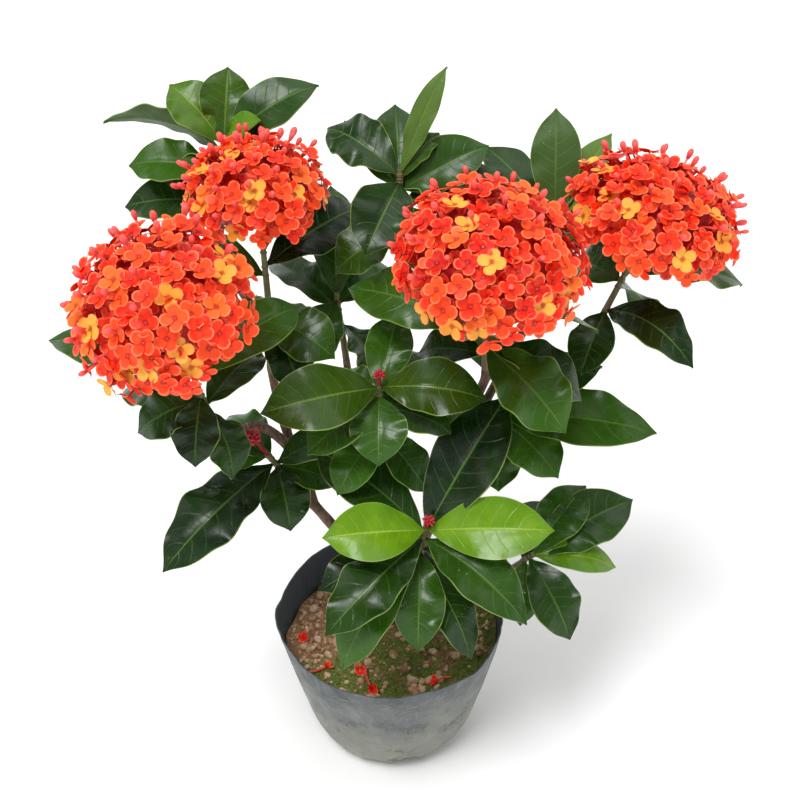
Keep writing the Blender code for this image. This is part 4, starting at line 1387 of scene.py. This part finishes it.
    def build_moss(self, palette: Palette) -> None:
        """Grow short moss sprigs where moss covers the soil.

        Args:
            palette: The finishes.
        """
        rng = random.Random(self.sprig_seed)
        pattern = Workpiece()
        bmesh.ops.create_cone(pattern.bm, cap_ends=True, segments=3, radius1=0.5, radius2=0.08, depth=1.0)
        pattern.paint(pattern.bm.faces, lambda vert: (vert.co.z + 0.5, 0.0, 0.5))
        sprig = pattern.mesh("sprig")
        work = Workpiece()
        for spot in self.spots(self.sprigs, self.sprig_reach, rng):
            if not self.mossy(spot.x, spot.y):
                continue
            clump = max(0.0, noise.noise(Vector((0.17 * spot.x, 0.17 * spot.y, 2.0))))
            tall = rng.uniform(1.0, 2.2) * (0.8 + 2.2 * clump)
            lean = Vector((rng.uniform(-0.7, 0.7), rng.uniform(-0.7, 0.7), 1.0))
            wide = rng.uniform(0.8, 1.5)
            turned = axis_frame(lean).to_4x4() @ Matrix.Diagonal((wide, wide, tall, 1.0))
            work.place(sprig, Matrix.Translation(spot + 0.3 * tall * Z_AXIS) @ turned, None, rng.random())
        work.piece("soil_moss", [palette.moss], Slot.SOIL)


@dataclass
class WoodyStems:
    """Root crown and limbs with bark, swollen at their nodes."""

    crown: tuple[tuple[Point, float], ...] = (
        ((-4.0, 6.0, 60.3), 6.4), ((-4.0, 6.0, 88.0), 6.4),
        ((-4.0, 6.0, 100.0), 5.8), ((-4.0, 7.0, 107.0), 3.2),
    )
    shoot_root_radius: float = 2.4
    shoot_overlap: float = 9.0
    gap: float = 0.3
    curve_steps: int = 8
    crown_sides: int = 16
    limb_sides: int = 12
    swelling: float = 0.07
    node_spacing: int = 7
    node_swelling: float = 0.12

    def build(self, palette: Palette) -> None:
        """Build and dress the limbs.

        Args:
            palette: The finishes.
        """
        work = Workpiece()
        points, radii = zip(*self.crown)
        self.limb(work, [Vector(point) for point in points], radii, self.crown_sides, 1)
        for number, (shoot, girth, points) in enumerate(LIMBS):
            root, _, along = shoot_line(shoot)
            places = [Vector(point) for point in points]
            places += [root - self.shoot_overlap * along, root - self.gap * along]
            steps = len(places) - 1
            radii = [girth + (self.shoot_root_radius - girth) * step / steps for step in range(steps + 1)]
            self.limb(work, places, radii, self.limb_sides, number + 2)
        work.piece("woody_stems_bark", [palette.bark], Slot.WOOD, ["woody_stems"])

    def limb(
        self, work: Workpiece, places: Sequence[Vector], radii: Sequence[float], sides: int, seed: int,
    ) -> None:
        """Add one limb.

        Args:
            work: Mesh under construction.
            places: Points along it.
            radii: Radius at each point.
            sides: Sides of its section.
            seed: Makes its swellings its own.
        """
        path = smooth_path(places, self.curve_steps)
        girths = []
        for index in range(len(path)):
            start = min(index // self.curve_steps, len(radii) - 2)
            share = index / self.curve_steps - start
            girth = radii[start] + (radii[start + 1] - radii[start]) * share
            swell = self.swelling * noise.noise(Vector((0.6 * index, seed, 0.0)))
            node = self.node_swelling * math.exp(-((index % self.node_spacing - 3) / 0.8) ** 2)
            girths.append(girth * (1.0 + swell + (node if 3 < index < len(path) - 4 else 0.0)))
        work.tube(path, girths, sides)


@dataclass
class Leaf:
    """One leaf, on the same surface as its CAD leaf, in a frame along it, across it and out of its face.

    The first eight fields are its row of SHOOTS. The turn, tilt and stretch are what its CAD leaf was given
    to clear its neighbours, and slim is the share of its width that it shows.
    """

    below: float
    heading: float
    pitch: float
    length: float
    width: float
    arch: float
    roll: float
    wave: float
    root: Vector = field(default_factory=Vector)
    turn: float = 0.0
    tilt: float = 0.0
    stretch: float = 1.0
    slim: float = 1.0
    blade: float = 0.6
    petiole_half_width: float = 1.3
    tip_half_width: float = 0.3
    waves: float = 3.0
    fine_waves: float = 3.7
    fold: float = 0.16
    long_leaf: float = 60.0
    cells_along: int = 34
    cells_across: int = 12
    fit: float = 0.9

    TURNS = (0, 5, -5, 10, -10, 16, -16, 23, -23, 30, -30)
    TILTS = (0, 4, -4, 8, -8, 13, -13, 19, -19, 26, -26)
    STRETCHES = (1.0, 0.88, 0.76)

    def axes(self) -> Matrix:
        """Columns along the leaf, across it and out of its upper face.

        Returns:
            A 3 x 3 rotation.
        """
        pitch = math.radians(self.pitch + self.tilt)
        x, y = polar(math.cos(pitch), self.heading + self.turn)
        along = Vector((x, y, math.sin(pitch)))
        up = Z_AXIS - along * along.z
        face = Matrix.Rotation(math.radians(self.roll), 3, along) @ up.normalized()
        return Matrix((along, face.cross(along), face)).transposed()

    def half_width(self, share: float, fine: float) -> float:
        """Half the width of the leaf.

        Args:
            share: Share of its length.
            fine: 0 for the CAD outline, 1 for the rounder one.

        Returns:
            The half width.
        """
        if not 0.001 < share < 0.999:
            return 0.0
        outline = math.sin(math.pi * share ** (1.12 + 0.06 * fine)) ** (0.95 - 0.19 * fine)
        foot = 0.6 * math.exp(-(share / 0.07) ** 2)
        ends = 1.0 - fine * (foot + 0.5 * math.exp(-((1.0 - share) / 0.08) ** 2))
        least = self.petiole_half_width if share < 0.5 or fine < 0.5 else self.tip_half_width
        return max(0.5 * (self.slim * self.width) * outline * ends, least)

    def surface(self, share: float, side: float, fine: float) -> Vector:
        """Point of the leaf's middle surface in its own frame.

        Args:
            share: Share of its length.
            side: Share of its half width, signed.
            fine: Share of the detail that the CAD leaf doesn't carry.

        Returns:
            The point.
        """
        length = self.length * self.stretch
        half = self.half_width(share, fine)
        swell = math.sin(math.pi * share)
        phase = math.radians(37.0 * self.heading)
        edge = self.wave * side * side * swell
        rise = 0.04 * self.arch * share * (1.0 - share) * length
        ripple = edge * math.sin(math.tau * self.waves * share + phase + 1.3 * side)
        folded = self.fold * abs(side) * half * swell
        # The rest is finer than the CAD leaf: small waves, a groove on the midrib, a drooping tip, puckers.
        calm = 0.35 + 0.45 * (1.0 + math.sin(2.3 * self.heading))
        small = calm * edge * math.sin(math.tau * self.fine_waves * share + 2.0 * phase + 2.0 * side)
        small += 0.16 * half * side * math.sin(4.2 * share + phase)
        groove = -0.45 * math.exp(-(side / 0.09) ** 2) * min(1.0, 5.0 * share)
        droop = -1.6 * max(0.0, share - 0.72) ** 2 / 0.08
        pucker = 0.5 * noise.noise(Vector((0.09 * length * share, 0.09 * side * half, self.heading)))
        height = rise + ripple + folded + fine * (small + groove + droop + pucker)
        return Vector((length * share, side * half, height))

    def fits(self, tree: KDTree) -> bool:
        """Whether the CAD node holds a leaf just here.

        Args:
            tree: Points of the CAD node, in millimetres.

        Returns:
            True where every point lies on the node.
        """
        axes = self.axes()
        steps = 6 if self.length * self.stretch >= self.long_leaf else 4
        for step in range(steps, 1, -1):
            for side in ((0.0,) if step == steps else (0.0, -1.0, 1.0)):
                if tree.find(self.root + axes @ self.surface(step / steps, side, 0.0))[2] > self.fit:
                    return False
        return True

    def settle(self, tree: KDTree) -> bool:
        """Take the turn, tilt and stretch that the CAD node gave the leaf.

        Args:
            tree: Points of the CAD node, in millimetres.

        Returns:
            False where the node has no such leaf.
        """
        turns = sorted(product(self.TURNS, self.TILTS), key=lambda pair: abs(pair[0]) + 1.2 * abs(pair[1]))
        for stretch, (turn, tilt) in product(self.STRETCHES, turns):
            self.turn, self.tilt, self.stretch = turn, tilt, stretch
            if self.fits(tree):
                return True
        return False

    def mesh(self, lime: float, chance: float) -> Mesh:
        """The finished leaf.

        Args:
            lime: Share of fresh lime green.
            chance: The leaf's own chance.

        Returns:
            Closed mesh in millimetres.
        """
        work = Workpiece()
        bmesh.ops.create_grid(work.bm, x_segments=self.cells_along, y_segments=self.cells_across, size=0.5)
        for face in work.bm.faces:
            for loop in face.loops:
                loop[work.uv].uv = (loop.vert.co.x + 0.5, loop.vert.co.y + 0.5)
        axes = self.axes()
        for vert in work.bm.verts:
            vert.co = self.root + axes @ self.surface(vert.co.x + 0.5, 2.0 * vert.co.y, 1.0)
        bmesh.ops.remove_doubles(work.bm, verts=work.bm.verts, dist=0.01)
        work.bm.normal_update()
        for vert in work.bm.verts:
            vert.co += 0.5 * self.blade * axes.col[2]
        bmesh.ops.solidify(work.bm, geom=list(work.bm.faces), thickness=self.blade)
        bmesh.ops.recalc_face_normals(work.bm, faces=work.bm.faces)
        for face in work.bm.faces:
            below = 1.0 if face.normal.dot(axes.col[2]) < -0.1 else 0.0
            for loop in face.loops:
                loop[work.shade] = (lime, below, chance, 1.0)
        return work.mesh("leaf")


@dataclass
class LeafyShoot:
    """Green shoot with its leaves, each where its CAD leaf stands."""

    name: str
    root_radius: float = 2.4
    tip_radius: float = 1.7
    tip_gap: float = 3.0
    steps: int = 10
    sides: int = 10
    knot_half: float = 0.8
    knot_radii: tuple[float, float, float] = (2.1, 2.5, 2.0)

    STEM_SKIN = 1

    def node_points(self) -> KDTree:
        """Points of the shoot's CAD node.

        Returns:
            A search tree of them, in millimetres.
        """
        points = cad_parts[self.name].data.vertices
        tree = KDTree(len(points))
        for index, vert in enumerate(points):
            tree.insert(vert.co / MM, index)
        tree.balance()
        return tree

    def build(self, palette: Palette) -> None:
        """Build and dress the shoot.

        Args:
            palette: The finishes.
        """
        root, tip, along = shoot_line(self.name)
        tree = self.node_points()
        rng = random.Random(self.name)
        work = Workpiece()
        taper = self.tip_radius - self.root_radius
        path = [root + (tip - root) * (step / self.steps) for step in range(self.steps + 1)]
        radii = [self.root_radius + taper * step / self.steps for step in range(self.steps + 1)]
        work.tube(path, radii, self.sides, (1.0, 0.0, 0.0), self.STEM_SKIN)
        missing = []
        young = YOUNG_LEAVES.get(self.name, {})
        slim = SLIM_LEAVES.get(self.name, {})
        for number, row in enumerate(SHOOTS[self.name][2]):
            leaf = Leaf(*row)
            leaf.root = tip - max(leaf.below, self.tip_gap) * along
            found = leaf.settle(tree)
            chance = rng.random()
            if not found:
                missing.append(number)
                continue
            leaf.slim = slim.get(number, 1.0)
            work.place(leaf.mesh(young.get(number, 0.0), chance), UNMOVED)
            knot = leaf.root - self.knot_half * along
            knot_path = [knot, knot + self.knot_half * along, knot + 2.0 * self.knot_half * along]
            work.tube(knot_path, self.knot_radii, 8, (0.6, 0.0, 0.0), self.STEM_SKIN)
        work.piece(self.name + "_leaves", [palette.leaf, palette.stem], Slot.LEAFY, [self.name])
        if missing:
            LOG.info("%s: leaves %s aren't on the node", self.name, missing)


class FloretPattern:
    """The four-petalled floret and the bud that every head repeats."""

    SEGMENTS = 10
    PETALS = 4
    CUPS = (0.06, 0.16, 0.0, 0.24, 0.9)
    BUD_SLIM = 0.27

    def floret(self, cup: float, seed: int) -> Mesh:
        """Floret of radius 1 that faces up, with rounded petals that overlap one way round.

        Args:
            cup: How far the petal tips rise.
            seed: Makes its petals its own.

        Returns:
            Closed mesh.
        """
        work = Workpiece()
        rng = random.Random(seed)
        reach = {}
        for petal in range(self.PETALS):
            rim = bmesh.ops.create_circle(work.bm, cap_ends=True, segments=self.SEGMENTS, radius=1.0)["verts"]
            edges = {edge for vert in rim for edge in vert.link_edges}
            upper = bmesh.ops.poke(work.bm, faces=list(rim[0].link_faces))["verts"][0]
            lower = bmesh.ops.contextual_create(work.bm, geom=list(edges))["faces"]
            lower = bmesh.ops.poke(work.bm, faces=lower)["verts"][0]
            lift = cup + rng.uniform(-0.08, 0.08)
            grown = rng.uniform(0.94, 1.04)
            for vert in rim:
                reach[vert] = min(1.0, 0.05 + 0.9 * (vert.co.x + 1.0))
                x = 0.53 + 0.5 * grown * vert.co.x
                y = 0.46 * vert.co.y * (1.0 + 0.14 * vert.co.x)
                vert.co = Vector((x, y, lift * x ** 1.5 + 0.07 * vert.co.y - 0.10 * (1.0 - x) + 0.03))
            reach[upper] = reach[lower] = 0.5
            upper.co = Vector((0.56, 0.0, 0.4 * lift - 0.09))
            lower.co = Vector((0.5, 0.0, 0.4 * lift - 0.15))
            turn = Matrix.Rotation(math.radians(90.0 * petal), 3, "Z")
            bmesh.ops.rotate(work.bm, verts=[*rim, upper, lower], matrix=turn)
        work.paint(work.bm.faces, lambda vert: (reach[vert], 0.0, 0.0))
        return work.mesh("floret")

    @staticmethod
    def bud(slim: float) -> Mesh:
        """Bud of length 1 from the origin up.

        Args:
            slim: Radius of its fullest part.

        Returns:
            Closed mesh.
        """
        work = Workpiece()
        shape = ((0.0, 0.0), (0.4, 0.03), (0.72, 0.25), (1.0, 0.55), (0.86, 0.82), (0.4, 0.97), (0.0, 1.0))
        work.turned([(share * slim, height) for share, height in shape], 6, UNMOVED, 0.5)
        return work.mesh("bud")


@dataclass
class FlowerHead:
    """Dense domed head: florets at the surface and deeper, buds above them, and tubes from the stalk.

    The apricot places are where its apricot florets show in the photograph's camera.
    """

    name: str
    shoot: str
    centre: Point
    axis: Point
    wide: float
    tall: float
    florets: int
    buds: int
    seed: int
    apricot: tuple[tuple[float, float], ...]
    bud_side: Point
    floret_radius: float
    edge_angle: float = 108.0
    core_share: float = 0.8
    turn: Matrix = field(init=False)
    middle: Vector = field(init=False)

    BUD_SKIN = 1
    CORE_SKIN = 2

    def __post_init__(self) -> None:
        """Work out the rotation and the middle of the head."""
        self.turn = axis_frame(Vector(self.axis))
        self.middle = Vector(self.centre)

    def out(self, x: float, y: float, rise: float) -> Vector:
        """Way from the head's middle to a point of its dome."""
        return self.turn @ Vector((self.wide * x, self.wide * y, self.tall * rise))

    def build(self, palette: Palette, studio: Studio, patterns: Sequence[Mesh], bud: Mesh) -> None:
        """Build and dress the head.

        Args:
            palette: The finishes.
            studio: Tells where a floret shows in the picture.
            patterns: Floret meshes of radius 1, the last one half open.
            bud: Bud mesh of length 1.
        """
        rng = random.Random(self.seed)
        work = Workpiece()
        self.core(work)
        hub = self.middle - self.turn @ Vector((0.0, 0.0, 0.5 * self.tall))
        self.stalk(work, hub)
        places = self.spread(rng)
        for (spot, face), hue in zip(places, self.hues(places, studio, rng)):
            size = self.floret_radius * rng.uniform(0.88, 1.06)
            matrix = axis_frame(face).to_4x4() @ Matrix.Rotation(rng.uniform(0.0, math.tau), 4, "Z")
            matrix = Matrix.Translation(spot) @ matrix @ Matrix.Scale(size, 4)
            work.place(rng.choice(patterns[:-1]), matrix, hue, rng.random())
            neck = spot - face.normalized() * 0.35
            inward = self.middle + 0.45 * (spot - self.middle)
            foot = hub if (spot - self.middle).dot(self.turn.col[2]) < 0.25 * self.tall else inward
            # The low first mark keeps the floret's tube in its darker foot colour, and its end shows through
            # the floret's middle as a dark dot: painted shade of the throat.
            mark = (0.3, 0.0, 0.2 * rng.random())
            work.tube([foot, foot.lerp(neck, 0.6), neck], [0.55, 0.5, 0.8], 4, mark, self.BUD_SKIN)
        for spot, face in self.fill(rng):
            matrix = Matrix.Translation(spot) @ axis_frame(face).to_4x4()
            matrix = matrix @ Matrix.Rotation(rng.uniform(0.0, 6.0), 4, "Z")
            size = self.floret_radius * rng.uniform(0.6, 0.85)
            # The florets deeper in the head take a deeper red than most surface ones: painted shade in the
            # gaps between florets.
            hue = Hue.DEEP_RED.value + rng.uniform(0.1, 0.4)
            pattern = patterns[-1] if rng.random() < 0.35 else patterns[2]
            work.place(pattern, matrix @ Matrix.Scale(size, 4), hue, 0.5)
        self.stand_buds(work, rng, bud)
        materials = [palette.petal, palette.bud, palette.core]
        work.piece(self.name + "_florets", materials, Slot.FLOWER, [self.name])

    def stalk(self, work: Workpiece, hub: Vector) -> None:
        """Add the stalk.

        Args:
            work: Mesh under construction.
            hub: Where it ends in the head.
        """
        _, tip, along = shoot_line(self.shoot)
        path = [tip + 0.3 * along, tip + 5.0 * along, tip + 0.6 * (hub - tip) + 2.0 * along, hub]
        path = smooth_path(path, 4)
        radii = [1.7 + 0.5 * step / (len(path) - 1) for step in range(len(path))]
        work.tube(path, radii, 8, (0.5, 0.0, 0.2), self.CORE_SKIN)

    def core(self, work: Workpiece) -> None:
        """Add the red core of the head.

        Args:
            work: Mesh under construction.
        """
        verts = bmesh.ops.create_icosphere(work.bm, subdivisions=3, radius=1.0)["verts"]
        faces = {face for vert in verts for face in vert.link_faces}
        wide, tall = self.core_share * self.wide, self.core_share * self.tall
        for vert in verts:
            lumps = 1.0 + 0.08 * noise.noise(vert.co * 5.0)
            x, y, z = vert.co * lumps
            vert.co = self.middle + self.turn @ Vector((wide * x, wide * y, tall * max(z, -0.3 + 0.1 * z)))
        # The core shows only in the gaps; its deep red is partly painted shade there.
        work.paint(faces, lambda vert: (0.5, 0.0, 0.3))
        for face in faces:
            face.material_index = self.CORE_SKIN

    def spread(self, rng: random.Random) -> list[tuple[Vector, Vector]]:
        """Places of the florets.

        Args:
            rng: Source of chance.

        Returns:
            Centre and facing of each floret.
        """
        places = []
        depth = 1.0 - math.cos(math.radians(self.edge_angle))
        for index in range(self.florets):
            angle = GOLDEN_ANGLE * index + 90.0 * self.seed + rng.uniform(-6.0, 6.0)
            x, y, rise = dome_point(index, self.florets, depth, angle)
            layer = 1.0 + 0.06 * (index % 3 - 1) + rng.uniform(-0.025, 0.025)
            layer += 0.12 * noise.noise(Vector((2.2 * x, 2.2 * y, 2.2 * rise + 7.0 * self.seed)))
            spot = self.middle + layer * self.out(x, y, rise)
            face = self.turn @ Vector((x / self.wide, y / self.wide, rise / self.tall)).normalized()
            face += 0.25 * self.turn.col[2]
            places.append((spot, face + jitter(rng, 0.26, -0.1, 0.2)))
        return places

    def fill(self, rng: random.Random) -> list[tuple[Vector, Vector]]:
        """Places of the florets that show in the gaps, deeper in the head.

        Args:
            rng: Source of chance.

        Returns:
            Centre and facing of each floret.
        """
        places = []
        count = self.florets * 2 // 3
        for index in range(count):
            out = self.out(*dome_point(index, count, 1.2, GOLDEN_ANGLE * (index + 0.37) + 40.0 * self.seed))
            face = out.normalized() + jitter(rng, 0.6, -0.2, 0.3)
            places.append((self.middle + out * rng.uniform(0.86, 0.92), face))
        return places

    def hues(
        self, places: Sequence[tuple[Vector, Vector]], studio: Studio, rng: random.Random,
    ) -> list[float]:
        """Colour of each floret.

        Args:
            places: Centre and facing of each floret.
            studio: Tells where a floret shows in the picture.
            rng: Source of chance.

        Returns:
            Place on the petal ramp for each floret.
        """
        hues = []
        for _ in places:
            base = Hue.CORAL if rng.random() < 0.38 else Hue.SCARLET
            if rng.random() < 0.12:
                base = Hue.DEEP_RED
            elif rng.random() < 0.05:
                base = Hue.APRICOT
            hues.append(base.value + rng.uniform(-0.1, 0.14))
        shown = {
            index: studio.pixel(spot) for index, (spot, face) in enumerate(places)
            if face.normalized().dot((studio.eye() - spot).normalized()) >= 0.25
        }
        for place in self.apricot:
            if shown:
                nearest = min(shown, key=lambda index: math.dist(shown[index], place))
                del shown[nearest]
                hues[nearest] = Hue.APRICOT.value - rng.uniform(0.0, 0.12)
        return hues

    def stand_buds(self, work: Workpiece, rng: random.Random, bud: Mesh) -> None:
        """Add unopened buds that stand above the florets.

        Args:
            work: Mesh under construction.
            rng: Source of chance.
            bud: Bud mesh of length 1.
        """
        lean = Vector(self.bud_side).normalized()
        for index in range(self.buds):
            angle = GOLDEN_ANGLE * (index + 0.5) + 60.0 * self.seed
            out = self.out(*dome_point(index, self.buds, 0.98, angle))
            if out.normalized().dot(lean) < rng.uniform(-0.3, 0.5):
                continue
            way = (out.normalized() + 0.35 * self.turn.col[2]).normalized()
            start = self.middle + 0.7 * out
            end = self.middle + out + way * rng.uniform(0.5, 6.0)
            mark = (0.8, 0.0, rng.random())
            work.tube([start, start.lerp(end, 0.5), end], [0.6, 0.6, 0.95], 4, mark, self.BUD_SKIN)
            size = rng.uniform(5.5, 8.5)
            matrix = Matrix.Translation(end - 0.4 * way) @ axis_frame(way).to_4x4() @ Matrix.Scale(size, 4)
            before = len(work.bm.faces)
            work.place(bud, matrix, None, rng.random())
            work.bm.faces.ensure_lookup_table()
            for face in work.bm.faces[before:]:
                face.material_index = self.BUD_SKIN


@dataclass
class BudCluster:
    """Tight cluster of young buds, or a spent bloom with its long styles."""

    name: str
    shoot: str
    stalk: float
    size: float
    buds: int
    slot: Slot
    styles: int = 0

    def build(self, palette: Palette, bud: Mesh) -> None:
        """Build and dress the cluster.

        Args:
            palette: The finishes.
            bud: Bud mesh of length 1.
        """
        rng = random.Random(self.name)
        _, tip, along = shoot_line(self.shoot)
        middle = tip + (self.stalk + self.size) * along
        work = Workpiece()
        start = tip + 0.3 * along
        work.tube([start, start.lerp(middle, 0.5), middle], [1.6, 1.2, 1.3], 8, (0.5, 0.0, 0.3))
        turn = axis_frame(along)
        for index in range(self.buds):
            out = (turn @ Vector(dome_point(index, self.buds, 0.8, GOLDEN_ANGLE * index))).normalized()
            foot = middle - 0.45 * self.size * along + 0.25 * self.size * out
            place = Matrix.Translation(foot) @ axis_frame(out).to_4x4()
            work.place(bud, place @ Matrix.Scale(self.size * rng.uniform(0.9, 1.2), 4), None, rng.random())
        for index in range(self.styles):
            out = (turn @ Vector((*polar(0.8, 200.0 + 70.0 * index), 0.9))).normalized()
            reaches = (0.0, 3.0, 6.0, 9.0, 11.5)
            path = [middle + out * reach - Z_AXIS * 0.015 * reach ** 2 for reach in reaches]
            work.tube(path, [0.4, 0.35, 0.35, 0.35, 0.6], 5, (1.0, 0.0, 1.0))
        work.piece(self.name + "_cluster", [palette.young_bud], self.slot, [self.name])


@dataclass
class FallenFloret:
    """One wilted floret lying on the soil."""

    name: str
    place: tuple[float, float]
    heading: float
    length: float
    radius: float = 3.9
    tube_radius: float = 0.75

    TUBE_SKIN = 1

    def build(self, palette: Palette, pattern: Mesh) -> None:
        """Build and dress the floret.

        Args:
            palette: The finishes.
            pattern: Floret mesh of radius 1.
        """
        away = Vector((*polar(1.0, self.heading), 0.0))
        aside = Vector((-away.y, away.x, 0.0))
        centre = Vector((*self.place, 0.0))
        work = Workpiece()
        face = Z_AXIS - 0.8 * away
        turn = axis_frame(face).to_4x4() @ Matrix.Rotation(math.radians(65.0), 4, "Z")
        work.place(pattern, Matrix.Translation(centre) @ turn @ Matrix.Scale(self.radius, 4), 0.2, 0.5)
        path = [centre - face.normalized() * 0.8]
        for share in (0.3, 0.65, 1.0):
            path.append(centre + away * self.length * share + aside * 1.2 * math.sin(math.pi * share))
        work.tube(smooth_path(path, 3), [self.tube_radius] * 10, 6, (0.4, 0.0, 0.4), self.TUBE_SKIN)
        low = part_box(self.name)[0].z / MM
        lowest = min(vert.co.z for vert in work.bm.verts)
        bmesh.ops.translate(work.bm, verts=work.bm.verts, vec=(0.0, 0.0, low - lowest))
        work.piece(self.name + "_petals", [palette.petal, palette.bud], Slot.FALLEN, [self.name])


def flower_heads() -> list[FlowerHead]:
    """The four heads, with where their apricot florets show in the picture.

    Returns:
        The heads, from left to right.
    """
    return [
        FlowerHead(
            "head_left", "shoot_head_left", centre=(-126, -48, 391), axis=(-0.28, -0.42, 0.86), wide=49,
            tall=41, florets=134, buds=44, seed=1, bud_side=(-0.6, 0.1, 0.8), floret_radius=7.9,
            apricot=((165, 302), (170, 353), (197, 362), (87, 325), (113, 378), (220, 270), (235, 240)),
        ),
        FlowerHead(
            "head_back_left", "shoot_head_back_left", centre=(-82, 48, 416), axis=(0.0, -0.1, 1.0), wide=41,
            tall=28, florets=98, buds=54, seed=2, bud_side=(-0.35, 0.1, 1.0), floret_radius=7.4,
            apricot=((208, 210), (247, 207), (265, 195), (292, 200), (240, 240), (235, 160), (205, 170)),
        ),
        FlowerHead(
            "head_centre", "shoot_head_centre", centre=(58, -15, 403), axis=(0.06, -0.3, 0.95), wide=52,
            tall=37, florets=134, buds=34, seed=3, bud_side=(-0.2, 0.3, 0.9), floret_radius=8.1,
            apricot=((505, 263), (415, 303), (548, 305), (437, 342), (575, 300), (470, 215), (560, 290)),
        ),
        FlowerHead(
            "head_right", "shoot_head_right", centre=(161, 40, 403), axis=(0.24, -0.1, 0.97), wide=51,
            tall=30, florets=126, buds=46, seed=4, bud_side=(0.2, 0.3, 0.8), floret_radius=7.6,
            apricot=((632, 210), (693, 260), (600, 195), (605, 165), (708, 212), (720, 245)),
        ),
    ]


def main() -> None:
    """Build and dress every piece in order."""
    logging.basicConfig(level=logging.INFO, format="%(message)s")
    palette = Palette()
    studio = Studio()
    studio.build(palette.floor)
    bag = GrowBag()
    bag.build(palette)
    SoilBed(bag).build(palette)
    WoodyStems().build(palette)
    for name in SHOOTS:
        LeafyShoot(name).build(palette)
    maker = FloretPattern()
    patterns = [maker.floret(cup, seed) for seed, cup in enumerate(maker.CUPS)]
    bud = maker.bud(maker.BUD_SLIM)
    for head in flower_heads():
        head.build(palette, studio, patterns, bud)
    BudCluster("buds_front", "shoot_front", 5.0, 3.6, 18, Slot.BUD).build(palette, bud)
    BudCluster("buds_middle", "shoot_middle", 5.0, 3.4, 18, Slot.BUD).build(palette, bud)
    BudCluster("spent_bloom", "shoot_left", 22.0, 5.0, 24, Slot.SPENT, 2).build(palette, bud)
    for number, (x, y, heading, length) in enumerate(FALLEN, start=1):
        FallenFloret(f"fallen_floret_{number}", (x, y), heading, length).build(palette, patterns[-1])


if __name__ == "__main__":
    main()
